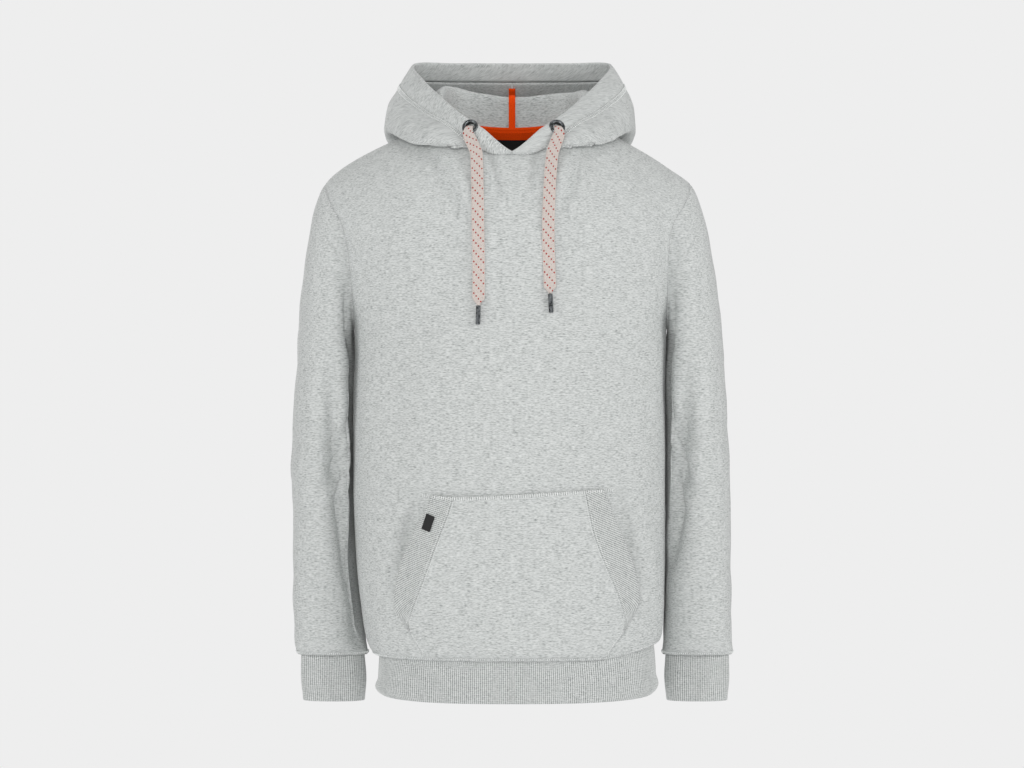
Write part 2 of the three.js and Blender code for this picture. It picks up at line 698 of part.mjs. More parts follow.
function hoodGrid(sign) {
  const centre = sign * (SEAM_GAP / 2);
  return Array.from({ length: HOOD_ROWS }, (_, i) =>
    Array.from({ length: HOOD_COLUMNS }, (_, j) => {
      const p = hoodPoint(sign, j / (HOOD_COLUMNS - 1), i / (HOOD_ROWS - 1));
      if (j === HOOD_COLUMNS - 1) p.x = centre;
      return p;
    }),
  );
}

function hoodNormals(sign, grid) {
  const made = normals(grid, 1, false);
  const check = made[12][6];
  const out = check.x * sign > 0 ? 1 : -1;
  made.forEach((row) => {
    row.forEach((n) => n.multiplyScalar(out));
    row[row.length - 1].setX(0).normalize();
  });
  return made;
}

function hoodPanel(which) {
  const sign = which === "right" ? -1 : 1;
  const grid = hoodGrid(sign);
  const directions = hoodNormals(sign, grid);
  return wall(`hood_${which}`, grid, moved(grid, directions, -FLEECE), false, heather);
}

// Stops of the band from the front middle to the back middle: its seam side and its free edge.
function bandStops(sign) {
  const front = BAND_FRONT.map((b) => {
    const seam = neckPoint(b.angle, 1).add(vec(b.angle > 0 ? 1.5 : 0.3, -1.2, 1.4));
    return { seam, edge: vec(...b.edge) };
  });
  const meeting = { seam: vec(...HOOD[0].join), edge: vec(...HOOD[0].edge) };
  const seamLine = new THREE.CatmullRomCurve3([...front, meeting].map((r) => r.seam));
  const frontLine = new THREE.CatmullRomCurve3([...front, meeting].map((r) => r.edge));
  const edgeLine = new THREE.CatmullRomCurve3(HOOD.map((h) => vec(...h.edge)));
  const shares = Array.from({ length: FRONT_STOPS }, (_, i) => i / FRONT_STOPS);
  const columns = Array.from({ length: HOOD_COLUMNS }, (_, j) => j / (HOOD_COLUMNS - 1));
  const stops = [
    ...shares.map((t) => ({ seam: seamLine.getPoint(t), edge: frontLine.getPoint(t) })),
    ...columns.map((u) => ({ seam: hoodPoint(1, u, 1), edge: edgeLine.getPoint(u) })),
  ];
  return stops.map(({ seam, edge }) => {
    seam.addScaledVector(edge.clone().sub(seam).normalize(), SEAM_GAP + 0.1);
    return { seam: seam.setX(sign * seam.x), edge: edge.setX(sign * edge.x) };
  });
}

// Frame of the band at a stop: its middle, outward direction, and direction to the free edge.
function bandFrame(sign, number) {
  const stops = bandStops(sign);
  const here = stops[number];
  const last = stops.length - 1;
  const middleOf = (stop) => stop.edge.clone().add(stop.seam).multiplyScalar(0.5);
  const along = middleOf(stops[Math.min(number + 1, last)]).sub(middleOf(stops[Math.max(number - 1, 0)]));
  if (number === last || number === 0) along.set(1, 0, 0);
  const across = here.edge.clone().sub(here.seam);
  const width = across.length();
  across.normalize();
  const out = along.cross(across).normalize();
  const middle = middleOf(here);
  if (out.dot(middle.clone().sub(vec(0, 20, 30))) < 0) out.negate();
  return { seam: here.seam, middle, out, across, width };
}

// Folded band along the face edge: flat outer side, round fold at the free edge.
function bandSection(sign, number) {
  const f = bandFrame(sign, number);
  const point = (deep, up) => f.seam.clone().addScaledVector(f.across, up).addScaledVector(f.out, -deep);
  const soft = Math.min(2, f.width * 0.3);
  return [
    point(0, 0),
    point(0, f.width - soft),
    point(BAND_THICK * 0.5, f.width),
    point(BAND_THICK, f.width - soft),
    point(BAND_THICK, soft * 1.3),
  ];
}

function hoodBand() {
  const numbers = bandStops(1).map((_, i) => i);
  const right = numbers.map((i) => bandSection(-1, i));
  const left = numbers.map((i) => bandSection(1, i));
  left.pop();
  return bar("hood_band", [...right, ...left.reverse()], heather);
}

// Tape round the inside of the back of the neck, over the neck seam.
function neckTape() {
  const angles = Array.from({ length: 15 }, (_, i) => 122 + (i * 116) / 14);
  const outer = [-1, 0, 1].map((line) =>
    angles.map((a) => {
      const seam = neckPoint(Math.min(a, 360 - a), a > 180 ? -1 : 1);
      const inward = vec(-seam.x / NECK_HALF ** 2, -seam.y / 70 ** 2, 0).normalize();
      if (line >= 0) {
        return seam.addScaledVector(inward, FLEECE + 2.6).setZ(seam.z + line * TAPE_HALF);
      }
      const low = bodyPoint(1, seam.x * 1.04, seam.z - TAPE_HALF * 0.8);
      return low.addScaledVector(bodyNormal(1, low.x, low.z), -FLEECE - 3);
    }),
  );
  const directions = normals(outer, 1, false);
  const out = directions[1][7].y > 0 ? 1 : -1;
  directions.forEach((row) => row.forEach((n) => n.multiplyScalar(out)));
  return wall("neck_tape", outer, moved(outer, directions, -TAPE_THICK), false, orange);
}

// Tape over the centre-back seam on the inside of the hood.
function hoodSeamTape() {
  const grid = hoodGrid(1);
  const last = HOOD_COLUMNS - 1;
  const directions = hoodNormals(1, grid);
  const rows = grid.map((_, i) => i).slice(2, HOOD_ROWS - 1);
  const layer = (deep) =>
    [-4.3, 4.3].map((x) =>
      rows.map((i) => grid[i][last].clone().addScaledVector(directions[i][last], -deep).setX(x)),
    );
  return wall("hood_seam_tape", layer(FLEECE + 1.5), layer(FLEECE + 1.5 + TAPE_THICK), false, orange);
}

// Bare label on the inside of the back panel, under the neck tape.
function neckLabel() {
  const heights = [-26, -36, -48, -62, -76];
  const places = [-27, -9, 9, 27];
  const grid = heights.map((z) => places.map((x) => bodyPoint(1, x, z)));
  const directions = normals(grid, 1, false);
  const out = directions[1][1].y > 0 ? 1 : -1;
  directions.forEach((row) => row.forEach((n) => n.multiplyScalar(out)));
  const base = moved(grid, directions, -FLEECE - 1.2);
  return wall("neck_label", base, moved(base, directions, -1), false, black);
}

// Ring of an eyelet on the band.
function eyelet(which) {
  const frame = bandFrame(which === "right" ? -1 : 1, EYELET_STOP);
  const mid = (EYELET_RADIUS + EYELET_HOLE) / 2;
  const profile = [
    [EYELET_HOLE, 0],
    [EYELET_RADIUS, 0],
    [EYELET_RADIUS, EYELET_HEIGHT * 0.45],
    [mid + 0.8, EYELET_HEIGHT],
    [mid - 0.8, EYELET_HEIGHT],
    [EYELET_HOLE, EYELET_HEIGHT * 0.45],
    [EYELET_HOLE, 0],
  ].map(([r, h]) => new THREE.Vector2(r, h));
  const geometry = new THREE.LatheGeometry(profile, 20);
  geometry.applyQuaternion(new THREE.Quaternion().setFromUnitVectors(vec(0, 1, 0), frame.out));
  const at = frame.middle.clone().addScaledVector(frame.out, 0.8);
  geometry.translate(at.x, at.y, at.z);
  const made = new THREE.Mesh(geometry, gunmetal);
  made.name = `eyelet_${which}`;
  return made;
}

// Line of a drawcord from inside its eyelet down the chest.
function cordLine(which) {
  const frame = bandFrame(which === "right" ? -1 : 1, EYELET_STOP);
  const at = (out, down) => frame.middle.clone().addScaledVector(frame.out, out).addScaledVector(frame.across, -down);
  const hanging = CORDS[which].map((row) => {
    const p = bodyPoint(-1, row.x, row.z);
    p.y -= row.off;
    return p;
  });
  return new THREE.CatmullRomCurve3([at(2.6, 1.5), at(5, 3.4), at(6.6, 8), at(6.8, 13.5), ...hanging]);
}

function cordWidth(place) {
  const start = clamp(place / 0.1, 0, 1);
  const end = clamp((1 - place) / 0.04, 0, 1);
  const ease = (t) => t * t * (3 - 2 * t);
  return Math.min(8.5 + (CORD_WIDTH - 8.5) * ease(start), 4.6 + (CORD_WIDTH - 4.6) * ease(end));
}

function drawcord(which) {
  const line = cordLine(which);
  const places = Array.from({ length: 31 }, (_, i) => i / 30);
  places.splice(30, 0, 0.985);
  const sections = places.map((place) => {
    const at = line.getPointAt(place);
    const tangent = line.getTangentAt(place);
    const across = vec(1, 0, 0).addScaledVector(tangent, -tangent.x).normalize();
    const out = tangent.clone().cross(across).normalize();
    const half = cordWidth(place) / 2;
    const thick = (place > 0.97 ? 2 + CORD_THICK : CORD_THICK) / 2;
    return Array.from({ length: 8 }, (_, k) => {
      const angle = ((k + 0.5) / 8) * 2 * Math.PI;
      const c = Math.sign(Math.cos(angle)) * Math.pow(Math.abs(Math.cos(angle)), 0.6);
      const s = Math.sin(angle);
      return at.clone().addScaledVector(across, half * c).addScaledVector(out, thick * s * 0.95);
    });
  });
  return bar(`drawcord_${which}`, sections, cream);
}

// Metal tip at the end of a drawcord.
function aglet(which) {
  const line = cordLine(which);
  const end = line.getPointAt(1);
  const lengths = [
    { down: 0.8, radius: AGLET_RADIUS },
    { down: AGLET_LENGTH - 1, radius: AGLET_RADIUS },
    { down: AGLET_LENGTH, radius: AGLET_RADIUS * 0.8 },
  ];
  const direction = vec(line.getTangentAt(1).x, 0, -1).normalize();
  const across = vec(1, 0, 0).addScaledVector(direction, -direction.x).normalize();
  const out = direction.clone().cross(across);
  const sections = lengths.map((row) =>
    Array.from({ length: 12 }, (_, k) => {
      const angle = (k / 12) * 2 * Math.PI;
      const p = end.clone().addScaledVector(direction, row.down);
      p.addScaledVector(across, row.radius * Math.cos(angle));
      return p.addScaledVector(out, row.radius * Math.sin(angle));
    }),
  );
  return bar(`aglet_${which}`, sections, gunmetal);
}

// How far the pocket stands off the front panel: sewn at top, bottom and lower corners, open at the trims.
function pocketLift(x, z) {
  const top = POCKET[0].z;
  const bottom = POCKET[POCKET.length - 1].z;
  const up = clamp((z - bottom) / (top - bottom), 0, 1);
  const edge = look(POCKET, "z", side(x), z);
  const out = clamp(Math.abs(x / edge), 0, 1);
  const rise = Math.sin(Math.PI * clamp((up - 0.16) / 0.84, 0, 1));
  return POCKET_LIFT + rise * (2 + (POCKET_GAPE - 2) * out ** 3);
}

function onPocket(x, z, extra) {
  return bodyPoint(-1, x, z).addScaledVector(bodyNormal(-1, x, z), pocketLift(x, z) + extra);
}

function pocketPanel() {
  const shares = Array.from({ length: POCKET_COLUMNS }, (_, j) => j / (POCKET_COLUMNS - 1));
  const layer = (extra) =>
    POCKET_ROWS.map((z) => {
      const right = look(POCKET, "z", "right", z) + SEAM_GAP / 2;
      const left = look(POCKET, "z", "left", z) - SEAM_GAP / 2;
      return shares.map((share) => onPocket(right + share * (left - right), z, extra));
    });
  return wall("pocket_panel", layer(FLEECE), layer(0), false, heather);
}

// Rib trim of a pocket opening: ribs run across it, standing out on its outer side.
function pocketRib(which) {
  const top = -481;
  const bottom = -650;
  const column = (share) => (z) => {
    const inner = look(POCKET, "z", which, z);
    const outer = look(POCKET, "z", `${which}_out`, z);
    const sign = Math.sign(outer);
    return inner + sign * 0.7 + share * (outer - inner - sign * 0.7);
  };
  const lines = [0, 0.5, 1].map(column);
  const layer = (count, extra) =>
    lines.map((x) =>
      Array.from({ length: count }, (_, k) => {
        const z = top + (k / (count - 1)) * (bottom - top);
        return onPocket(x(z), z, extra(k));
      }),
    );
  const outer = layer(TRIM_RIBS * 2 + 1, (k) => RIB_WALL + (k % 2 ? RIB_RISE : 0));
  const inner = layer(13, () => 0);
  return wall(`pocket_rib_${which}`, outer, inner, false, ribbed);
}

// Bare tab on the outer edge of the right pocket trim.
function pocketLabel() {
  const at = POCKET_LABEL;
  const shares = [0, 0.5, 1];
  const layer = (extra) =>
    [0, 0.33, 0.67, 1].map((up) =>
      shares.map((share) => {
        const z = at.z + (up - 0.5) * at.height;
        const x = at.x + (share - 0.5) * at.width - at.lean * (up - 0.5) * at.height;
        return onPocket(x, z, RIB_WALL + RIB_RISE + 0.6 + extra);
      }),
    );
  return wall("pocket_label", layer(1), layer(0), false, black);
}

function hemRib() {
  const surface = (angle, z, out) => hemRing(out)(angle, z);
  return ribTube("hem_rib", surface, HEM_RIBS, HEM.map((h) => h.z), 68, ribbed);
}

function cuff(which) {
  return ribTube(`cuff_${which}`, cuffSurface(which), CUFF_RIBS, CUFFS[which].map((c) => c.z), 38, ribbed);
}

const front = panelGrid(-1);
const back = panelGrid(1);
const frontNormals = panelNormals(-1, front);
const backNormals = panelNormals(1, back);

const group = new THREE.Group();
group.name = "hoodie";
group.add(
  wall("front_panel", front, moved(front, frontNormals, -FLEECE), false, heather),
  wall("back_panel", back, moved(back, backNormals, -FLEECE), false, heather),
);
["right", "left"].forEach((which) => {
  const sign = which === "right" ? -1 : 1;
  group.add(
    sleeve(which, armhole(sign, front, frontNormals, back, backNormals)),
    cuff(which),
    hoodPanel(which),
    eyelet(which),
    drawcord(which),
    aglet(which),
    pocketRib(which),
  );
});
group.add(hemRib(), hoodBand(), neckTape(), hoodSeamTape(), neckLabel(), pocketPanel(), pocketLabel());

export default group;
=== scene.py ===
"""Pullover hoodie in heather fleece, filled out and hollow, with its drawcords hanging on the chest.

Shapes are worked out in millimetres, +Z up, front towards -Y, and go into the meshes in metres.
Left and right are the wearer's, so left is +X. A which of "right" or "left" picks the side.
"""

from functools import partial

import bpy
import numpy as np
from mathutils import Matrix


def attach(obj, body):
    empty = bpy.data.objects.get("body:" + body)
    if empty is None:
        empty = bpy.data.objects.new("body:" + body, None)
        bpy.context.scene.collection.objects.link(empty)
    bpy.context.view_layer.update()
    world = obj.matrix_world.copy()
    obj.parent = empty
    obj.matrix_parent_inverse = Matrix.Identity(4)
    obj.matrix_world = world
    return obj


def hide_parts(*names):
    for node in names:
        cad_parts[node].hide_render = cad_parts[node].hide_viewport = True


bl_info = {
    "name": "Pullover hoodie",
    "version": (1, 0, 0),
    "blender": (4, 5, 0),
    "location": "3D View > Sidebar > Hoodie",
    "description": "Builds a fleece hoodie with rib trims, drawcords, stitching and a plain studio",
    "category": "Object",
}

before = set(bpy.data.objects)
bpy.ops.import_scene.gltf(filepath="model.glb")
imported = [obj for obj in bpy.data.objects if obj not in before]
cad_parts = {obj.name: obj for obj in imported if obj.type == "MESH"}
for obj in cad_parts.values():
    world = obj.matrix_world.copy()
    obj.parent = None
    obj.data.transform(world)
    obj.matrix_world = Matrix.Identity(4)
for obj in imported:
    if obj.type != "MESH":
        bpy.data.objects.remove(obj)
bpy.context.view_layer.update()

# Sign of x on each side
SIDES = {"right": -1, "left": 1}

# Cloth, neck, seams, cords and eyelets. Heights are from the origin, which lies between the high
# points of the shoulders
FLEECE = 2.2
RIB_WALL = 2.0
RIB_RISE = 0.7
SEAM_GAP = 0.4
BAND_THICK = 4
TAPE_THICK = 0.9
TAPE_HALF = 7
NECK_HALF = 88
HEM_SEAM = -697
NECK_DROP_FRONT = 56
NECK_DROP_BACK = 15
BACK_RISE = 12
SHOULDER_ROUND = 150
SQUARENESS = 2.3
HEM_RIBS = 340
CUFF_RIBS = 76
TRIM_RIBS = 56
CORD_WIDTH = 16
CORD_AT_EYELET = 8.5
CORD_AT_TIP = 4.6
CORD_THICK = 2.4
EYELET_RADIUS = 10.5
EYELET_HOLE = 6
EYELET_HEIGHT = 2.2
EYELET_BARREL = 3.2
EYELET_CUT = 7.2

# Body sections: half-widths to the wearer's right and left, depths of front and back
BODY = {
    "z": (-697, -688, -672, -640, -560, -460, -360, -300, -275, -254, -234, -210, -186, -162, -138,
          -117, -99, -84, 20),
    "right": (176, 184, 190, 195, 203, 206, 206, 204, 205, 209, 214, 220, 227, 235, 251, 269, 282,
              295, 300),
    "left": (187, 192, 195, 197, 199, 199, 199, 200, 201, 204, 208, 212, 216, 223, 238, 257, 269,
             281, 290),
    "front": (130, 136, 140, 142, 142, 142, 143, 142, 141, 140, 139, 138, 137, 136, 135, 135, 135,
              135, 135),
    "back": (115, 120, 123, 123, 121, 119, 118, 119, 120, 120, 120, 120, 120, 120, 120, 120, 120,
             120, 120),
}
# Armhole seam by share of the way from the underarm to the shoulder point
ARMHOLE = {
    "share": (0, 0.04, 0.12, 0.24, 0.37, 0.5, 0.62, 0.74, 0.85, 0.94, 1),
    "step": (0, 0.1, 0.2, 0.3, 0.4, 0.5, 0.6, 0.7, 0.8, 0.9, 1),
    "z": (-275, -268, -254, -234, -210, -186, -162, -138, -117, -99, -85),
    "right": (205, 205.2, 205.6, 206.4, 207.8, 210, 214, 221, 233, 240, 242),
    "left": (201, 201.1, 200.8, 200.8, 201, 201.6, 203.5, 209.5, 222, 229, 231),
}
# Shoulder line from the neck point to the shoulder point
SHOULDER = {
    "x": (88, 120, 150, 179, 205, 231, 242),
    "right": (0, -13, -28, -42, -56, -74, -85),
    "left": (0, -15, -33, -50, -67, -85, -96),
}
# Panel columns from the centre out: place at the top edge and share of the turn at the underarm
COLUMNS = {
    "column": (0, 0.1, 0.2, 0.3, 0.4, 0.5, 0.6, 0.7, 0.8, 0.9, 1),
    "top": (0, 26, 50, 71, 84, 88, 118, 148, 178, 208, 242),
    "turn": (0, 0.08, 0.16, 0.24, 0.32, 0.4, 0.5, 0.61, 0.73, 0.86, 1),
}
# Large soft folds of the body that the solids have too
FOLDS = {
    "face": (-1, -1, -1, -1, -1, -1, -1, 1, 1, 1, 1, 1),
    "x": (-92, -22, 88, 22, -150, 150, 0, -60, 55, 0, -140, 138),
    "z": (-110, -105, -108, -104, -330, -340, -430, -300, -330, -600, -480, -460),
    "lean": (-0.35, 0.4, 0.4, -0.3, 0.25, -0.3, 0, 0.2, -0.2, 0, 0.3, -0.3),
    "length": (70, 55, 70, 50, 110, 120, 150, 170, 180, 60, 120, 120),
    "breadth": (17, 14, 17, 14, 26, 26, 60, 30, 30, 90, 26, 26),
    "depth": (-4, -3, -4, -3, -3.5, -3.5, 3, -5, -5, 5, -4, -4),
}
# Sleeve sections: height, middle from front to back, half depth, turn in degrees, and the outer and
# inner sides across
SLEEVE_BOTH = {
    "z": (-320, -365, -410, -450, -490, -530, -575, -620, -655, -680, -691, -697),
    "mid": (9, 9, 9, 9, 9, 9, 9, 10, 11, 12, 12, 12),
    "depth": (71, 69, 67, 64, 61, 58, 55, 52, 49, 46, 40, 33),
    "turn": (7, 7, 7, 6, 5, 4, 3, 2, 1, 0, 0, 0),
}
SLEEVES = {
    "right": {
        **SLEEVE_BOTH,
        "outer": (280, 284, 286, 287, 286, 285, 285, 285, 284, 283, 281, 279),
        "inner": (196, 196, 197, 199, 200, 198, 195, 192, 190.5, 189, 187.5, 188),
    },
    "left": {
        **SLEEVE_BOTH,
        "outer": (276, 279, 281, 283, 284, 285, 285, 285, 285.5, 286.5, 287.5, 286.8),
        "inner": (192, 192, 193, 195, 197, 198, 198, 198, 198.5, 197.5, 196, 196),
    },
}
# Soft elbow folds: height, place round the sleeve in degrees from its outer side, and size
SLEEVE_FOLDS = {
    "right": {
        "z": (-470, -410, -500),
        "at": (95, 120, 250),
        "slope": (0.9, 0.9, -0.6),
        "breadth": (16, 16, 18),
        "reach": (42, 40, 50),
        "depth": (-6, -4, -5),
    },
    "left": {
        "z": (-485, -400, -495),
        "at": (95, 118, 245),
        "slope": (0.8, 0.8, -0.6),
        "breadth": (18, 16, 18),
        "reach": (44, 40, 50),
        "depth": (-6, -4, -5),
    },
}
# Hood sections round the neck from the front to the middle of the back, from neck seam to free edge
HOOD_ANGLES = (30, 54.9, 68.7, 90, 131.4, 155.8, 180)
HOOD = {
    "stand": ((44.6, -100, -47), (76, -86.5, -33), (83, -69, -19), (88, 5, 16), (70, 57, 16),
              (38, 70, 14), (0, 74, 14)),
    "crest": ((44.8, -100.1, -46.6), (81, -92, -35), (86, -73, -22), (91, 10, 33), (76, 64, 41),
              (41, 75, 39), (0, 78, 38.5)),
    "fall": ((45, -100.2, -46.2), (86, -97, -39), (93, -79, -27), (100, 11, 31), (89, 74, 34),
             (47, 87, 31), (0, 90, 30)),
    "low": ((45.2, -100.3, -45.8), (91, -101, -43), (107, -84, -36), (125, 5, -1), (108, 88, -22),
            (58, 113, -42), (0, 116, -45)),
    "under": ((45.4, -100.4, -45.4), (95, -102, -42), (119, -84.5, -40), (147, 4, -20),
              (129, 116, -62), (68, 144, -108), (0, 148, -124)),
    "bulge": ((45.6, -100.5, -45), (97, -99.5, -35), (128, -76, -33), (160, 6, -17),
              (152, 118, -34), (84, 170, -58), (0, 180, -72)),
    "upper": ((45.8, -100.4, -44.4), (92, -91, -22), (124, -60, -12), (155, 9, 14), (153, 103, 22),
              (86, 152, 12), (0, 160, 5)),
    "join": ((46, -100, -43.4), (81, -78, -13), (104, -47, 2), (140, 12, 34), (141, 88, 55),
             (78, 109, 57), (0, 113, 57)),
    "edge": ((35, -98, -21.5), (66, -71, 1.7), (88, -41, 22), (115, 10, 51), (129, 76, 78.5),
             (75, 97, 80.8), (0, 103, 81)),
}
HOOD_POINTS = ("stand", "crest", "fall", "low", "under", "bulge", "upper", "join")
HOOD_LEAN = 4.5
# Waves of the hood's inner crest: place across, half breadth and height
HOOD_WAVES = ((-85, 25, 3), (0, 42, -8), (78, 34, -5))
# Front end of the band: places round the neck, how far off them its seam lies, and points of its
# free edge
BAND_FRONT = {
    "angle": (0, 14),
    "off": ((0.3, -1.2, 1.4), (1.5, -1.2, 1.4)),
    "edge": ((0.3, -108, -52), (18, -103.5, -37)),
}
# Point in the hood's opening that the band's outer side faces away from
HOOD_MIDDLE = (0, 20, 30)

# Hem rib and cuffs
HEM = {"z": (-750, -694.5), "right": (174, 171.5), "left": (186, 183), "front": (128, 125.5),
       "back": (114, 111)}
# Rise of the hem's seam at the wearer's left: height, where it starts across and its run
HEM_RISE = {"height": 15, "start": 100, "run": 84}
# Height over which the hem rib rolls in to its fold at the bottom
HEM_ROLL = 22
CUFFS = {
    "right": {"z": (-757, -694), "x": (-232, -233.6), "mid": (12, 12), "width": (39.5, 40.5),
              "depth": (25.5, 25)},
    "left": {"z": (-757, -694), "x": (241, 241.4), "mid": (12, 12), "width": (39, 40.5),
             "depth": (25.5, 25)},
}
# Height under the arm where the sleeve starts to part from the body, and the room between them above it
UNDER_ARM = -300
UNDERARM_ROOM = 0.3
# Pull of the sleeve cap's curves where they leave the armhole and where they arrive at the sleeve: the
# least, and what the shoulder adds
CAP_LEAVES = (16, 66)
CAP_ARRIVES = (40, 160)
# How the cloth turns in over the hem rib and the cuffs: height and distance out
HEM_TUCK = ((-696.2, 0.4), (-697, 2.2))
CUFF_TUCK = ((-697.6, 4.5), (-697, 1.6))
# Pocket: edge of the pocket cloth and outer edge of the rib trim on each side
POCKET = {
    "z": (-684, -652, -636, -618, -600, -565, -530, -500, -480),
    "right": (-114, -130, -125, -118, -111, -99, -87.5, -78, -73),
    "left": (123, 142, 138.5, 132, 124.5, 110, 99, 94, 91.5),
    "right_out": (-114, -131.5, -143, -144.5, -141.5, -133, -120, -107, -100.5),
    "left_out": (123, 144, 152, 157, 153.5, 144, 131, 121, 115),
}
# How far the pocket stands off the panel at its sewn edges, and how much more at the middle of its
# openings
POCKET_LIFT = 1.6
POCKET_GAPE = 8
# Drawcord lines: height, place across and how far the middle of the cord stands off the chest
CORDS = {
    "right": {
        "z": (-52, -64, -80, -105, -140, -180, -215, -238, -246.5),
        "x": (-45.5, -44.6, -44, -43.4, -43, -42.2, -42, -42.2, -42.4),
        "off": (10, 7, 4.4, 3.2, 2.8, 2.6, 2.6, 3.6, 4.6),
    },
    "left": {
        "z": (-52, -64, -80, -105, -135, -170, -200, -223, -231.5),
        "x": (51.5, 50, 48.6, 47.2, 46, 46, 47, 47.8, 48.2),
        "off": (10, 7, 4.4, 3.2, 2.8, 2.6, 2.6, 3.6, 4.6),
    },
}
# How a cord comes out of its eyelet and over it: distances out of the band and down
CORD_START = ((-0.6, -1.5), (3.4, 1.5), (5.2, 6), (5.6, 11))
# Dots of the drawcord in metres: how far their columns are shifted, how far apart they are across and
# along the cord, the slant of their rows, and their half width and half length
CORD_DOTS = {"shift": 0.0315, "across": 0.003, "along": 0.0134, "slant": -1.2, "half_width": 0.00095,
             "half_length": 0.00115}
# Sewn top edge of the pocket, a little wavy and lower on the wearer's right
POCKET_TOP = {"x": (-114, -72, -15, 61, 128), "z": (-484, -488, -486, -481.5, -478)}
# Bare tab: middle, size, how much its outer side drops and how far its top leans out
TAB = {"x": -102.5, "z": -517, "width": 10, "height": 20.5, "drop": 3.6, "lean": 5.4}
# How far along and across the band each eyelet sits
EYELET_PLACE = {"right": (0.07, 0.62), "left": (0.083, 0.5)}
# Creases laid on each piece: x and z of both ends, bow, half breadth and depth, in millimetres
CREASES_FRONT = [
    (-106, -36, -48, -148, 5, 8, -7.5),
    (-86, -22, -44, -120, 4, 7, 2.4),
    (-36, -36, -16, -116, -3, 6, -5.0),
    (36, -36, 25, -116, 3, 6, -5.0),
    (90, -34, 56, -140, -6, 8, -7.0),
    (76, -26, 50, -116, -3, 7, 2.2),
    (-205, -240, -150, -310, 6, 14, -1.4),
    (202, -240, 150, -315, -6, 14, -1.4),
    (-176, -540, -126, -470, 8, 18, 1.4),
    (176, -560, 132, -480, -8, 18, 1.4),
    (-114, -474, -148, -612, 3, 10, -9.0),
    (126, -466, 170, -634, -3, 10, -11.0),
]
CREASES_BACK = [
    (-196, -240, -50, -335, 14, 14, -6.0),
    (196, -240, 46, -340, -14, 14, -6.0),
    (-150, -120, -36, -225, 8, 15, -4.6),
    (150, -130, 44, -235, -8, 15, -4.6),
    (-150, -500, 40, -575, 12, 18, -4.4),
    (150, -580, -30, -640, -12, 16, 3.6),
]
CREASES_SLEEVE = {
    "right": [
        (-42, -60, -46, -520, 0, 22, -13.0),
        (12, -290, -36, -640, 2, 15, -18.0),
        (-44, -430, -50, -860, 0, 27, -12.0),
        (30, -330, 4, -420, -4, 14, -2.4),
        (60, -380, 130, -450, 8, 14, -3.2),
        (70, -500, 150, -560, -8, 14, -3.0),
        (90, -600, 170, -650, 6, 12, -2.4),
    ],
    "left": [
        (-42, -60, -46, -560, 0, 20, -12.0),
        (0, -300, -50, -610, -5, 16, -20.0),
        (24, -330, 0, -430, 4, 14, -2.4),
        (60, -380, 130, -450, 8, 14, -3.2),
        (70, -500, 150, -560, -8, 14, -3.0),
        (90, -600, 170, -650, 6, 12, -2.4),
    ],
}
# Creases of the hood by place round the neck and up from the neck seam, both 0 to 100
CREASES_HOOD = [
    (8, 62, 34, 84, 3, 4, -1.6),
    (46, 60, 70, 78, 3, 6, -1.8),
    (66, 40, 96, 58, -3, 6, -2.2),
    (54, 88, 82, 96, 2, 4, 1.4),
]
# Unevenness of each cloth: what its random waves start from, their size and their height
UNEVEN = {
    "front": (4, 75, 0.8),
    "back": (6, 75, 0.8),
    "sleeve_right": (11, 70, 0.7),
    "sleeve_left": (12, 70, 0.7),
    "hood_right": (21, 55, 0.6),
    "hood_left": (22, 55, 0.6),
    "band_right": (31, 34, 0.5),
    "band_left": (32, 34, 0.5),
    "pocket": (41, 60, 0.5),
    "hem": (340, 60, 0.7),
    "cuff": (76, 60, 0.7),
}
# Lie of the courses on a sleeve: place across of the line that they are measured from, how far that
# line moves inwards up to the shoulder, and the stretch beyond it over which depth is added
GRAIN = {"line": 238, "inwards": 24, "stretch": 30}
# Rows of thread: distance from stitch to stitch, length along or across the seam, and width
THREAD = {
    "hem": (2.7, 3.6, 1.15),
    "sleeve": (2.7, 3.8, 1.15),
    "pocket_top": (2.9, 5.2, 1.25),
    "trim": (2.3, 1.7, 0.85),
    "hood_cover": (2.9, 3.4, 1.1),
}
# Soft lights: name, place, size in metres and power in watts
LIGHTS = [
    ("key", (3.6, -1.9, 0.4), 1.8, 53),
    ("fill", (-3.6, -1.9, 0.3), 1.8, 34),
    ("front", (-0.4, -4.6, 0.5), 1.2, 72),
    ("top", (0.0, 0.3, 2.6), 2.0, 21),
    ("back", (-1.6, 4.0, 0.7), 1.8, 34),
]
# Share of the background's brightness that falls on the garment from all sides
STUDIO_GLOW = 0.38
# Colour of the lights, the point that they face, and the colour of background and ground
LIGHT_TINT = (1, 0.995, 0.985)
LIGHT_AIM = (0, 0, -0.35)
PALE = "#EEEEEE"
# Camera level with the garment's middle: place in metres, lens and sensor in millimetres
CAMERA = {"place": (0, -4.5, -0.3458), "lens": 121.7, "sensor": 36}
# Ground: half its side and its height, in millimetres
GROUND_HALF = 9000
GROUND_LEVEL = -1150


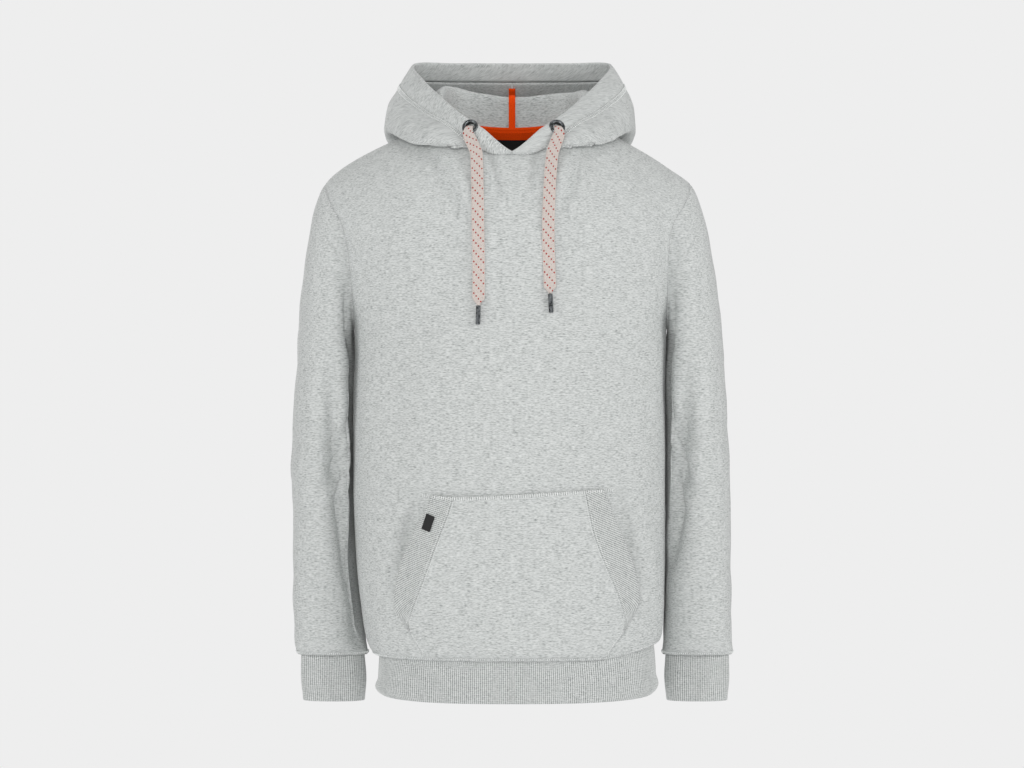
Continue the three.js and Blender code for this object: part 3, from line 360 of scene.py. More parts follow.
def look(table, key, column, at):
    """Value of a table column at a place: a cubic between rows, whose slope at each row is the
    harmonic mean of the slopes on both sides, or flat where they change sign."""
    order = np.argsort(table[key])
    x = np.asarray(table[key], float)[order]
    y = np.asarray(table[column], float)[order]
    step = np.diff(x)
    slope = np.diff(y) / step
    before, after = slope[:-1], slope[1:]
    same = before * after > 0
    mean = 2 * before * after / np.where(same, before + after, 1)
    tangent = np.concatenate([slope[:1], np.where(same, mean, 0), slope[-1:]])
    at = np.clip(at, x[0], x[-1])
    i = np.clip(np.searchsorted(x, at, side="right") - 1, 0, len(x) - 2)
    t = (at - x[i]) / step[i]
    rise = t * t * (3 - 2 * t)
    bend = t * (1 - t) ** 2 * tangent[i] - t * t * (1 - t) * tangent[i + 1]
    return y[i] * (1 - rise) + y[i + 1] * rise + step[i] * bend


def sided(table, key, at, sign):
    """The table's right column where sign is negative, and its left column elsewhere."""
    return np.where(sign < 0, look(table, key, "right", at), look(table, key, "left", at))


def spline(points, at):
    """Centripetal Catmull-Rom curve through points at places 0 to 1: between two points it is the
    cubic that passes both with the tangents of unevenly spaced knots, whose spacing is the square
    root of the distance. Points may carry further axes."""
    points = np.asarray(points, float)
    ends = [2 * points[:1] - points[1:2], points, 2 * points[-1:] - points[-2:-1]]
    line = np.concatenate(ends)
    place = np.clip(np.asarray(at, float), 0, 1) * (len(points) - 1)
    i = np.minimum(place.astype(int), len(points) - 2)
    t = (place - i).reshape((-1,) + (1,) * (points.ndim - 1))
    a, b, c, d = line[i], line[i + 1], line[i + 2], line[i + 3]
    gap = [np.linalg.norm(q - p, axis=-1, keepdims=True) ** 0.5 for p, q in ((a, b), (b, c), (c, d))]
    middle = np.where(gap[1] < 1e-4, 1, gap[1])
    first = np.where(gap[0] < 1e-4, middle, gap[0])
    last = np.where(gap[2] < 1e-4, middle, gap[2])
    start = middle * ((b - a) / first - (c - a) / (first + middle) + (c - b) / middle)
    end = middle * ((c - b) / middle - (d - b) / (middle + last) + (d - c) / last)
    return b + t * start + t**2 * (3 * (c - b) - 2 * start - end) + t**3 * (2 * (b - c) + start + end)


def unit(v):
    """Vectors divided by their lengths."""
    return v / np.maximum(np.linalg.norm(v, axis=-1, keepdims=True), 1e-9)


def outward(grid, turn, loop=False):
    """Unit normals: the cross product of a grid's differences along its rows and up its columns."""
    across = np.gradient(grid, axis=1)
    if loop:
        across = np.roll(grid, -1, 1) - np.roll(grid, 1, 1)
    return turn * unit(np.cross(across, np.gradient(grid, axis=0)))


def lengths(grid, axis):
    """Distance along the cloth from the first row or column, in millimetres."""
    step = np.linalg.norm(np.diff(grid, axis=axis), axis=-1)
    start = np.zeros_like(np.take(step, [0], axis))
    return np.cumsum(np.concatenate([start, step], axis), axis)


def ripple(across, up, seed, size, height):
    """Soft unevenness of cloth: the mean of 14 plane waves of about one size with random
    directions and phases."""
    random = np.random.default_rng(seed)
    total = np.zeros_like(across, dtype=float)
    for _ in range(14):
        angle, phase, wave = random.uniform(0, 2 * np.pi, 2).tolist() + [size * random.uniform(0.6, 1.7)]
        total += np.sin((across * np.cos(angle) + up * np.sin(angle)) * 2 * np.pi / wave + phase)
    return total * height / 14**0.5


def crease(table, across, up):
    """Sum of soft troughs and ridges: each follows a slightly bowed line between two points, with
    a bell across it, deepest midway and fading out at both ends."""
    total = np.zeros_like(across, dtype=float)
    for x0, z0, x1, z1, bow, breadth, depth in table:
        length = np.hypot(x1 - x0, z1 - z0)
        t = ((across - x0) * (x1 - x0) + (up - z0) * (z1 - z0)) / length**2
        inside = np.clip(t, 0, 1)
        off = ((across - x0) * (z1 - z0) - (up - z0) * (x1 - x0)) / length - bow * 4 * inside * (1 - inside)
        total += depth * np.sin(np.pi * inside) ** 1.2 * np.exp(-((off / breadth) ** 2))
    return total


def ridge(face, x):
    """Height of the shoulder line, and of the surface that it continues over the neck opening."""
    out = np.abs(x)
    over_neck = BACK_RISE * (1 - (out / NECK_HALF) ** 2) if face > 0 else 0 * out
    return np.where(out > NECK_HALF, sided(SHOULDER, "x", out, x), over_neck)


def body_depth(face, x, z):
    """Distance of the body's cloth from the shoulder plane: the section's depth and folds, times a
    superellipse across the body, times a quarter circle over the shoulder."""
    half = sided(BODY, "z", z, x)
    depth = look(BODY, "z", "front" if face < 0 else "back", z)
    for row in zip(*FOLDS.values()):
        fold = dict(zip(FOLDS, row))
        if fold["face"] == face:
            along = z - fold["z"]
            off = x - fold["x"] - fold["lean"] * along
            bell = np.exp(-((off / fold["breadth"]) ** 2) - (along / fold["length"]) ** 2)
            depth = depth + fold["depth"] * bell
    curve = (1 - np.clip(np.abs(x) / half, 0, 1) ** SQUARENESS) ** (1 / SQUARENESS)
    down = np.clip((ridge(face, x) - z) / SHOULDER_ROUND, 0, 1)
    return depth * curve * np.sqrt(1 - (1 - down) ** 2)


def body_point(face, x, z):
    """Point on the front (face -1) or back (face 1) of the body at a place across and a height."""
    x, z = np.broadcast_arrays(np.asarray(x, float), np.asarray(z, float))
    return np.stack([x, face * (body_depth(face, x, z) + SEAM_GAP / 2), z], -1)


def body_normal(face, x, z):
    """Unit normal of the body there, from the slopes of its depth over 2 mm."""
    x, z = np.broadcast_arrays(np.asarray(x, float), np.asarray(z, float))
    slope_x = (body_depth(face, x + 1, z) - body_depth(face, x - 1, z)) / 2
    slope_z = (body_depth(face, x, z + 1) - body_depth(face, x, z - 1)) / 2
    return unit(np.stack([-slope_x, np.full_like(x, face), -slope_z], -1))


def neck_point(degrees, sign=1):
    """Neck seam: an ellipse across the neck, dropped more in front than at the back."""
    angle = np.radians(degrees)
    front = np.asarray(degrees) < 90
    x = sign * NECK_HALF * np.sin(angle)
    z = -np.abs(np.cos(angle)) * np.where(front, NECK_DROP_FRONT, NECK_DROP_BACK)
    return np.where(front[..., None], body_point(-1, x, z), body_point(1, x, z))


def hem_rise(x):
    """How much higher the seam of the hem rib lies towards the wearer's left side."""
    gone = np.clip((np.asarray(x, float) - HEM_RISE["start"]) / HEM_RISE["run"], 0, 1)
    return HEM_RISE["height"] * gone**1.6


def hem_knit(turn, z, out):
    """Hem rib at a turn and height: its seam rises at the wearer's left, and its fold at the
    bottom flares a little and turns in round at the sides."""
    ring = hip_ring(HEM, turn, z, out)
    low = np.clip((HEM["z"][0] + HEM_ROLL - ring[..., 2]) / HEM_ROLL, 0, 1)
    side = np.abs(np.sin(turn)) ** 6
    scale = 1 + side * (0.02 * np.sin(np.pi * low) - 0.03 * low**4)
    ring[..., :2] *= scale[..., None]
    high = np.clip((ring[..., 2] - HEM["z"][0]) / (HEM["z"][1] - HEM["z"][0]), 0, 1)
    ring[..., 2] += hem_rise(ring[..., 0]) * high + 3.0 * side * low**2
    return ring


def oval_reach(across, deep, half, depth):
    """How far a superellipse of those half sizes reaches along a direction: the summed powers of
    the direction's parts over the half sizes, to the power of minus one over the squareness."""
    powers = np.abs(across / half) ** SQUARENESS + np.abs(deep / depth) ** SQUARENESS
    return powers ** (-1 / SQUARENESS)


def hip_ring(table, turn, z, out):
    """Superellipse round the hips at a turn (0 in front) and height, from a table, moved out."""
    s, c = np.sin(turn), np.cos(turn)
    half = sided(table, "z", z, s) + out
    depth = np.where(c > 0, look(table, "z", "front", z), look(table, "z", "back", z)) + out
    size = oval_reach(s, c, half, depth)
    return np.stack(np.broadcast_arrays(size * s, -size * c, z), -1)


def cuff_ring(which, turn, z, out):
    """Superellipse round the wrist at a turn (0 on the outer side, 90 in front) and height."""
    table, sign = CUFFS[which], SIDES[which]
    s, c = np.sin(turn), np.cos(turn)
    half = look(table, "z", "width", z) + out
    depth = look(table, "z", "depth", z) + out
    size = oval_reach(c, s, half, depth)
    x = look(table, "z", "x", z) + sign * size * c
    return np.stack(np.broadcast_arrays(x, look(table, "z", "mid", z) - size * s, z), -1)


def panel_upper(face, columns, share):
    """Points of a panel above the underarm: straight from the underarm to the neck and shoulder
    edge, pulled to the armhole seam with a weight that grows towards it."""
    share = share[:, None]
    sign = np.where(columns < 0, -1, 1)[None]
    place = np.abs(columns)[None]
    turn = look(COLUMNS, "column", "turn", place)
    top = look(COLUMNS, "column", "top", place)
    shoulder = sided(ARMHOLE, "share", 1, sign)
    beyond = NECK_HALF + (top - NECK_HALF) * (shoulder - NECK_HALF) / (COLUMNS["top"][-1] - NECK_HALF)
    end_x = sign * np.where(top > NECK_HALF, beyond, top)
    drop = NECK_DROP_FRONT if face < 0 else NECK_DROP_BACK
    on_neck = -drop * np.sqrt(np.clip(1 - (end_x / NECK_HALF) ** 2, 0, 1))
    end_z = np.where(top > NECK_HALF, ridge(face, end_x), on_neck)
    low = ARMHOLE["z"][0]
    side = sided(BODY, "z", low, sign)
    start_x = sign * side * np.sin(turn * np.pi / 2) ** (2 / SQUARENESS)
    weight = turn**1.6
    pull = sided(ARMHOLE, "share", share, sign) - side - share * (shoulder - side)
    lift = look(ARMHOLE, "share", "z", share) - low - share * (ARMHOLE["z"][-1] - low)
    x = start_x + share * (end_x - start_x) + sign * weight * pull
    z = low + share * (end_z - low) + weight * lift
    inner = np.minimum(z, ridge(face, x) - 0.05)
    return body_point(face, x, np.where(share < 1, inner, z))


def panel_lower(face, columns, z):
    """Points of a panel from the hem to the underarm: superellipses at their own heights."""
    sign = np.where(columns < 0, -1, 1)[None]
    turn = look(COLUMNS, "column", "turn", np.abs(columns)[None])
    x = sign * sided(BODY, "z", z[:, None], sign) * np.sin(turn * np.pi / 2) ** (2 / SQUARENESS)
    return body_point(face, x, z[:, None])


def clear_of_body(p, room):
    """Points moved straight out of the body's superellipse where they lie nearer than room."""
    half = sided(BODY, "z", p[..., 2], p[..., 0]) + room
    front = look(BODY, "z", "front", p[..., 2])
    depth = np.where(p[..., 1] < 0, front, look(BODY, "z", "back", p[..., 2])) + room
    near = np.abs(p[..., 0] / half) ** SQUARENESS + np.abs(p[..., 1] / depth) ** SQUARENESS
    scale = np.minimum(near ** (1 / SQUARENESS), 1)[..., None]
    return np.concatenate([p[..., :2] / scale, p[..., 2:]], -1)


def beside_body(z):
    """Room between a sleeve and the body: least under the arm and more further down."""
    return UNDERARM_ROOM + 0.9 * np.clip((UNDER_ARM - z) / 80, 0, 1)


def sleeve_section(which, turn, z):
    """Sleeve at a turn (0 outer side, 90 in front) and height: a turned superellipse between the
    inner and outer sides, drawn in at the elbow folds."""
    table, sign = SLEEVES[which], SIDES[which]
    outer, inner = look(table, "z", "outer", z), look(table, "z", "inner", z)
    half, centre = (outer - inner) / 2, (outer + inner) / 2
    depth, lean = look(table, "z", "depth", z), np.radians(look(table, "z", "turn", z))
    s, c = np.sin(turn), np.cos(turn)
    a = half * np.sign(c) * np.abs(c) ** (2 / SQUARENESS)
    b = -depth * np.sign(s) * np.abs(s) ** (2 / SQUARENESS)
    grow = 1.0
    for row in zip(*SLEEVE_FOLDS[which].values()):
        fold = dict(zip(SLEEVE_FOLDS[which], row))
        off = np.degrees(turn) - fold["at"]
        rise = z - fold["z"] - fold["slope"] * off
        bell = np.exp(-((rise / fold["breadth"]) ** 2) - (off / fold["reach"]) ** 2)
        grow = grow + fold["depth"] * bell / np.hypot(half, depth)
    x = centre + (a * np.cos(lean) + b * np.sin(lean)) * grow
    y = look(table, "z", "mid", z) + (b * np.cos(lean) - a * np.sin(lean) * 0.4) * grow
    return clear_of_body(np.stack(np.broadcast_arrays(sign * x, y, z), -1), beside_body(z + 0 * x))


def armhole_ring(which, turns):
    """Armhole seam from the shoulder point down the front and up the back: its points, the
    cloth's normals there and the way off the panel."""
    sign = SIDES[which]
    step = np.abs(1 - turns / np.pi)
    share = look(ARMHOLE, "step", "share", step)
    rings = []
    for face in (-1, 1):
        near = panel_upper(face, sign * np.array([0.94, 1.0]), np.maximum(share, 0))
        below = panel_upper(face, sign * np.array([0.94, 1.0]), np.maximum(share - 0.01, 0))
        above = panel_upper(face, sign * np.array([0.94, 1.0]), np.minimum(share + 0.01, 0.999))
        away = unit(near[:, 1] - near[:, 0])
        normal = unit(np.cross(away, above[:, 1] - below[:, 1]))
        normal *= np.where(normal[:, 1] * face < 0, -1, 1)[:, None]
        rings.append((near[:, 1], normal, away))
    front = (turns < np.pi)[:, None]
    at, normal, away = (np.where(front, f, b) for f, b in zip(*rings))
    at[:, 1] = np.where(step > 0.999, 0, at[:, 1])
    return at, normal, away


def sleeve_grid(which, turns, cap, heights):
    """Sleeve from the armhole seam to the cuff: over the cap a cubic leaves the seam straight off
    the shoulder and arrives pointing down, and below it the sections follow each other."""
    sign = SIDES[which]
    at, normal, away = armhole_ring(which, turns)
    at = at - away * 1.6 - normal * 0.5
    high = ((1 + np.cos(turns)) / 2)[:, None]
    start = np.stack([np.full_like(turns, sign), 0 * turns, -0.62 * high[:, 0] - 0.05], -1)
    start = unit(start) * (CAP_LEAVES[0] + CAP_LEAVES[1] * high)
    end = np.array([0, 0, -1.0]) * (CAP_ARRIVES[0] + CAP_ARRIVES[1] * high)
    t = cap[:, None, None]
    first = sleeve_section(which, turns, np.full_like(turns, SLEEVE_BOTH["z"][0]))
    top = at * (1 - 3 * t**2 + 2 * t**3) + start * t * (1 - t) ** 2
    top = top + first * t**2 * (3 - 2 * t) - end * t**2 * (1 - t)
    low = (t[..., 0] > 0.2) & (top[..., 2] < ARMHOLE["z"][0])
    top = np.where(low[..., None], clear_of_body(top, UNDERARM_ROOM), top)
    lower = sleeve_section(which, turns[None], heights[:, None] + 0 * turns[None])
    tuck = [cuff_ring(which, turns, np.full_like(turns, z), out) for z, out in CUFF_TUCK]
    return np.concatenate([top, lower, np.stack(tuck)])


def hood_grid(sign, along, up):
    """Hood cloth: a curve through each section's points from the neck seam to the band seam, the
    sections joined by curves round the neck, with the whole outside leaning a little to one side
    and a wavy crest inside."""
    steps = {"at": np.linspace(0, 1, len(HOOD_ANGLES)), "angle": HOOD_ANGLES}
    root = neck_point(look(steps, "at", "angle", along)) + [0, 0, 0.5]
    grid = spline(np.stack([root, *(spline(HOOD[key], along) for key in HOOD_POINTS)]), up)
    outside = np.sin(np.pi * np.clip((up - 0.4) / 0.6, 0, 1))[:, None]
    lean = HOOD_LEAN * outside * np.sin(np.pi * np.clip(along * 1.3, 0, 1))
    grid[..., 0] = sign * grid[..., 0] - lean
    wave = sum(high * np.exp(-(((grid[..., 0] - at) / breadth) ** 2)) for at, breadth, high in HOOD_WAVES)
    grid[..., 2] += wave * np.exp(-(((up - 0.25) / 0.09) ** 2))[:, None]
    grid[:, -1, 0] = sign * SEAM_GAP / 2
    return grid


def band_frame(sign, front, along):
    """Band round the face edge, from the middle of the front: its seam line, outward direction,
    direction to the free edge and width."""
    seam = neck_point(np.array(BAND_FRONT["angle"])) + np.array(BAND_FRONT["off"])
    seam_line = spline(np.vstack([seam, HOOD["join"][:1]]), front)
    edge_line = spline(np.vstack([BAND_FRONT["edge"], HOOD["edge"][:1]]), front)
    seam = np.vstack([seam_line, hood_grid(1, along, np.array([1.0]))[0]])
    edge = np.vstack([edge_line, spline(HOOD["edge"], along)])
    across = unit(edge - seam)
    width = np.linalg.norm(edge - seam, axis=-1) - SEAM_GAP - 0.1
    seam = seam + across * (SEAM_GAP + 0.1)
    tangent = np.gradient((seam + edge) / 2, axis=0)
    tangent[0] = tangent[-1] = (1, 0, 0)
    out = unit(np.cross(tangent, across))
    facing = np.sum(out * ((seam + edge) / 2 - np.array(HOOD_MIDDLE)), -1)
    out *= np.where(facing < 0, -1, 1)[:, None]
    mirror = np.array([sign, 1, 1])
    return seam * mirror, out * mirror, across * mirror, width


def eyelet_frame(which):
    """Middle of an eyelet on the band, its outward direction and the direction to the free edge."""
    sign = SIDES[which]
    along, share = EYELET_PLACE[which]
    stops = np.array([0, along - 0.03, along, along + 0.03, 1])
    seam, out, across, width = band_frame(sign, np.arange(4) / 4, stops)
    return seam[6] + across[6] * width[6] * share, out[6], across[6]


def cord_line(which, places):
    """Drawcord route by share of its length: out of the eyelet, over it, and down the chest."""
    table = CORDS[which]
    middle, out, _ = eyelet_frame(which)
    down = unit(np.array([0, 0, -1.0]) + out * out[2])
    start = [middle + out * o + down * d for o, d in CORD_START]
    hanging = body_point(-1, table["x"], table["z"]) - np.array(table["off"])[:, None] * [0, 1, 0]
    line = spline(np.vstack([start, hanging]), np.linspace(0, 1, 601))
    gone = lengths(line, 0)
    want = np.asarray(places) * gone[-1]
    return np.stack([np.interp(want, gone, line[:, k]) for k in range(3)], -1), gone[-1]


def pocket_lift(x, z):
    """How far the pocket stands off the panel: little at its sewn edges, most at its openings."""
    up = np.clip((z - POCKET["z"][0]) / (POCKET["z"][-1] - POCKET["z"][0]), 0, 1)
    out = np.clip(np.abs(x / sided(POCKET, "z", z, x)), 0, 1)
    rise = np.sin(np.pi * np.clip((up - 0.16) / 0.84, 0, 1))
    return POCKET_LIFT + rise * (2 + (POCKET_GAPE - 2) * out**3)


def pocket_sag(x, z):
    """How far the pocket's wavy top edge pulls a point up or down, fading to none at the hem."""
    up = np.clip((z - POCKET["z"][0]) / (POCKET["z"][-1] - POCKET["z"][0]), 0, 1)
    return (look(POCKET_TOP, "x", "z", x) - POCKET["z"][-1]) * up**2


def on_pocket(x, z, extra):
    """Point over the front panel: the pocket's lift and an extra height along the panel's normal."""
    lift = (pocket_lift(x, z) + extra)[..., None]
    level = z + pocket_sag(x, z)
    return body_point(-1, x, level) + body_normal(-1, x, level) * lift


def linear(hex_colour):
    """A sRGB hex colour as linear red, green, blue and 1."""
    value = np.array([int(hex_colour[i : i + 2], 16) / 255 for i in (1, 3, 5)])
    low = value <= 0.04045
    return (*np.where(low, value / 12.92, ((value + 0.055) / 1.055) ** 2.4).tolist(), 1.0)


def add_node(tree, kind, inputs=None, **settings):
    """Adds a node with its settings; inputs are values, or sockets to link from."""
    node = tree.nodes.new(kind)
    for name, value in settings.items():
        setattr(node, name, value)
    for socket, value in (inputs or {}).items():
        if isinstance(value, bpy.types.NodeSocket):
            tree.links.new(value, node.inputs[socket])
        else:
            node.inputs[socket].default_value = value
    return node


def new_material(name, roughness, specular=0.5, metallic=0.0, sheen=0.0):
    """A material, its tree and its shader, with the values that hold all over the surface."""
    material = bpy.data.materials.new(name)
    material.use_nodes = True
    shader = material.node_tree.nodes["Principled BSDF"]
    shader.inputs["Roughness"].default_value = roughness
    shader.inputs["Specular IOR Level"].default_value = specular
    shader.inputs["Metallic"].default_value = metallic
    shader.inputs["Sheen Weight"].default_value = sheen
    shader.inputs["Sheen Roughness"].default_value = 0.45
    return material, material.node_tree, shader


def noise(tree, vector, scale, detail, roughness=0.6):
    """Noise on a vector stretched by scale, in waves a metre along each axis."""
    stretched = add_node(tree, "ShaderNodeMapping", {"Vector": vector, "Scale": scale})
    values = {"Vector": stretched.outputs[0], "Scale": 1.0, "Detail": detail, "Roughness": roughness}
    return add_node(tree, "ShaderNodeTexNoise", values).outputs["Fac"]


def calculate(tree, operation, *values):
    """Result of a sum or function on values or sockets."""
    inputs = dict(enumerate(values))
    return add_node(tree, "ShaderNodeMath", inputs, operation=operation).outputs[0]


def ramp(tree, factor, stops):
    """Colour ramp through (place, colour) stops."""
    node = add_node(tree, "ShaderNodeValToRGB", {"Fac": factor})
    elements = node.color_ramp.elements
    while len(elements) < len(stops):
        elements.new(0.5)
    for element, (place, colour) in zip(elements, stops):
        element.position = place
        element.color = colour
    return node.outputs["Color"]


def bump(tree, shader, height, strength, distance):
    """Relief in the shader from a height and its depth in metres."""
    values = {"Height": height, "Strength": strength, "Distance": distance}
    node = add_node(tree, "ShaderNodeBump", values)
    tree.links.new(node.outputs[0], shader.inputs["Normal"])


def cloth_uv(tree):
    """The piece's own UV map."""
    return add_node(tree, "ShaderNodeUVMap", uv_map="cloth").outputs[0]


def heather_mix(tree, vector):
    """Melange yarn: slubs about 9 mm by 1.6 mm along the courses, fibres drawn 4 mm by 1 mm, which
    is as coarse as they need to show, and cloudy patches of 20 mm. Returns slubs, fibres and mixture."""
    slubs = noise(tree, vector, (105, 620, 1), 2, 0.55)
    fibres = noise(tree, vector, (250, 900, 1), 1, 0.5)
    clouds = noise(tree, vector, (52, 90, 1), 2, 0.5)
    mixed = calculate(tree, "MULTIPLY_ADD", slubs, 0.4, calculate(tree, "MULTIPLY", fibres, 0.48))
    return slubs, fibres, calculate(tree, "MULTIPLY_ADD", clouds, 0.12, mixed)


def fleece_material(dark, middle, light):
    """Brushed cotton and polyester fleece, jersey face out: matt and a little fuzzy, with darker
    slubs of melange yarn along its courses."""
    material, tree, shader = new_material("brushed_heather_fleece", 0.95, 0.2, sheen=0.12)
    slubs, fibres, mixed = heather_mix(tree, cloth_uv(tree))
    colour = ramp(tree, mixed, [(0.32, dark), (0.5, middle), (0.69, light)])
    tree.links.new(colour, shader.inputs["Base Color"])
    height = calculate(tree, "MULTIPLY_ADD", slubs, 0.6, calculate(tree, "MULTIPLY", fibres, 0.4))
    bump(tree, shader, height, 0.35, 0.0008)
    return material


def rib_material(dark, middle, light):
    """One-by-one rib knit in the same yarn: soft upright ribs, with painted shade darkening the grooves
    between them and a faint painted shade at each row of stitches, which also show as small bumped steps
    2.6 mm apart. UV across counts ribs, up is in metres."""
    material, tree, shader = new_material("heather_rib_knit", 0.95, 0.2, sheen=0.1)
    split = add_node(tree, "ShaderNodeSeparateXYZ", {0: cloth_uv(tree)})
    across, up = split.outputs[0], split.outputs[1]
    in_metres = calculate(tree, "MULTIPLY", across, 0.0028)
    place = add_node(tree, "ShaderNodeCombineXYZ", {0: in_metres, 1: up}).outputs[0]
    _, fibres, mixed = heather_mix(tree, place)
    wave = calculate(tree, "COSINE", calculate(tree, "MULTIPLY", across, 2 * np.pi))
    stitch = calculate(tree, "SINE", calculate(tree, "MULTIPLY", up, 2 * np.pi / 0.0026))
    # Painted shade: darker colour in the grooves between the ribs, and faintly between the rows of stitches
    painted_groove_shade = calculate(tree, "MULTIPLY_ADD", wave, 0.1, calculate(tree, "MULTIPLY", stitch, 0.02))
    calm = calculate(tree, "MULTIPLY_ADD", mixed, 0.5, 0.25)
    colour = ramp(tree, calculate(tree, "ADD", calm, painted_groove_shade), [(0.36, dark), (0.5, middle), (0.64, light)])
    tree.links.new(colour, shader.inputs["Base Color"])
    height = calculate(tree, "MULTIPLY_ADD", stitch, 0.3, fibres)
    bump(tree, shader, height, 0.4, 0.0006)
    return material


def tape_material(colour, shaded):
    """Cotton twill tape, woven and dyed orange: fine slanting ridges and a dull face."""
    material, tree, shader = new_material("orange_twill_tape", 0.85, 0.08)
    uv = cloth_uv(tree)
    split = add_node(tree, "ShaderNodeSeparateXYZ", {0: uv})
    slant = calculate(tree, "ADD", split.outputs[0], split.outputs[1])
    twill = calculate(tree, "SINE", calculate(tree, "MULTIPLY", slant, 2 * np.pi / 0.0016))
    grain = noise(tree, uv, (700, 700, 1), 2)
    factor = calculate(tree, "MULTIPLY_ADD", twill, 0.16, grain)
    tree.links.new(ramp(tree, factor, [(0.25, shaded), (0.65, colour)]), shader.inputs["Base Color"])
    bump(tree, shader, factor, 0.4, 0.0005)
    return material


def label_material(colour, light):
    """Black damask label cloth: tight, smooth and slightly glossy, with fine crosswise threads."""
    material, tree, shader = new_material("black_damask_cloth", 0.6, 0.4)
    uv = cloth_uv(tree)
    threads = noise(tree, uv, (300, 2200, 1), 2)
    tree.links.new(ramp(tree, threads, [(0.4, colour), (0.75, light)]), shader.inputs["Base Color"])
    bump(tree, shader, threads, 0.3, 0.0003)
    return material


def thread_material(colour, dark):
    """Spun polyester sewing thread: pale grey, satin, a little uneven."""
    material, tree, shader = new_material("polyester_sewing_thread", 0.7, 0.35)
    place = add_node(tree, "ShaderNodeTexCoord").outputs["Object"]
    uneven = noise(tree, place, (300, 300, 300), 2)
    tree.links.new(ramp(tree, uneven, [(0.35, dark), (0.65, colour)]), shader.inputs["Base Color"])
    return material


def cord_material(ground, shade, dots):
    """Flat braided cotton drawcord: a cream braid of strands that slant both ways, 2.1 mm apart, with
    small rust-red stitches in slanting rows, 3 mm apart across and 13.4 mm apart along the cord."""
    material, tree, shader = new_material("braided_cotton_cord", 0.85, 0.25, sheen=0.1)
    split = add_node(tree, "ShaderNodeSeparateXYZ", {0: cloth_uv(tree)})
    across, along = split.outputs[0], split.outputs[1]
    shifted = calculate(tree, "ADD", across, CORD_DOTS["shift"])
    column = calculate(tree, "SNAP", shifted, CORD_DOTS["across"])
    in_column = calculate(tree, "SUBTRACT", shifted, column)
    off_across = calculate(tree, "SUBTRACT", in_column, CORD_DOTS["across"] / 2)
    slanted = calculate(tree, "MULTIPLY_ADD", column, CORD_DOTS["slant"], along)
    later = calculate(tree, "ADD", slanted, 10 * CORD_DOTS["along"])
    off_along = calculate(tree, "PINGPONG", later, CORD_DOTS["along"] / 2)
    wide = calculate(tree, "POWER", calculate(tree, "DIVIDE", off_across, CORD_DOTS["half_width"]), 2.0)
    high = calculate(tree, "POWER", calculate(tree, "DIVIDE", off_along, CORD_DOTS["half_length"]), 2.0)
    inside = calculate(tree, "ADD", wide, high)
    dot = add_node(tree, "ShaderNodeMapRange", {0: inside, 1: 0.75, 2: 1.25, 3: 1.0, 4: 0.0})
    slants = [calculate(tree, "MULTIPLY_ADD", across, way, along) for way in (1.0, -1.0)]
    turns = [calculate(tree, "MULTIPLY", slant, 2 * np.pi / 0.0021) for slant in slants]
    braid = calculate(tree, "MAXIMUM", *(calculate(tree, "SINE", turn) for turn in turns))
    fuzz = noise(tree, cloth_uv(tree), (500, 500, 1), 2)
    factor = calculate(tree, "MULTIPLY_ADD", braid, 0.22, fuzz)
    base = ramp(tree, factor, [(0.3, shade), (0.62, ground)])
    mixed = add_node(tree, "ShaderNodeMix", {0: dot.outputs[0], 6: base, 7: dots}, data_type="RGBA")
    tree.links.new(mixed.outputs[2], shader.inputs["Base Color"])
    bump(tree, shader, factor, 0.5, 0.0006)
    return material


def metal_material(colour, worn):
    """Gunmetal plated brass: dark grey, half polished, slightly cloudy where it is handled."""
    material, tree, shader = new_material("gunmetal_plated_brass", 0.3, metallic=1.0)
    place = add_node(tree, "ShaderNodeTexCoord").outputs["Object"]
    cloudy = noise(tree, place, (260, 260, 260), 3)
    tree.links.new(ramp(tree, cloudy, [(0.35, colour), (0.7, worn)]), shader.inputs["Base Color"])
    rough = add_node(tree, "ShaderNodeMapRange", {0: cloudy, 1: 0.3, 2: 0.7, 3: 0.22, 4: 0.42})
    tree.links.new(rough.outputs[0], shader.inputs["Roughness"])
    return material


def make_mesh(name, points, faces, uv, material):
    """Object at the origin from points in millimetres, faces and a UV pair for each face corner."""
    mesh = bpy.data.meshes.new(name)
    mesh.from_pydata(np.asarray(points, float).reshape(-1, 3) / 1000, [], faces)
    layer = mesh.uv_layers.new(name="cloth")
    layer.uv.foreach_set("vector", np.asarray(uv, np.float32).ravel())
    mesh.shade_smooth()
    mesh.materials.append(material)
    made = bpy.data.objects.new(name, mesh)
    bpy.context.scene.collection.objects.link(made)
    return made


def on_garment(piece):
    """Puts a piece on the garment's one body."""
    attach(piece, "root")
    return piece


def quads(rows, columns, loop):
    """Corners of the quads of a grid as row and column numbers; loop joins its last column to the
    first."""
    across = columns if loop else columns - 1
    i, j = np.meshgrid(np.arange(rows - 1), np.arange(across), indexing="ij")
    row = np.stack([i, i, i + 1, i + 1], -1).reshape(-1, 4)
    column = np.stack([j, j + 1, j + 1, j], -1).reshape(-1, 4)
    return row, column


def from_middle(grid):
    """Distance along each row of a grid from its middle column."""
    across = lengths(grid, 1)
    return across - across[:, across.shape[1] // 2][:, None]


def level_uv(grid, raised):
    """UV in metres with level courses: distance round the piece from its middle column, and height
    plus a rise of its own."""
    return np.stack([from_middle(grid), grid[..., 2] + raised], -1) / 1000


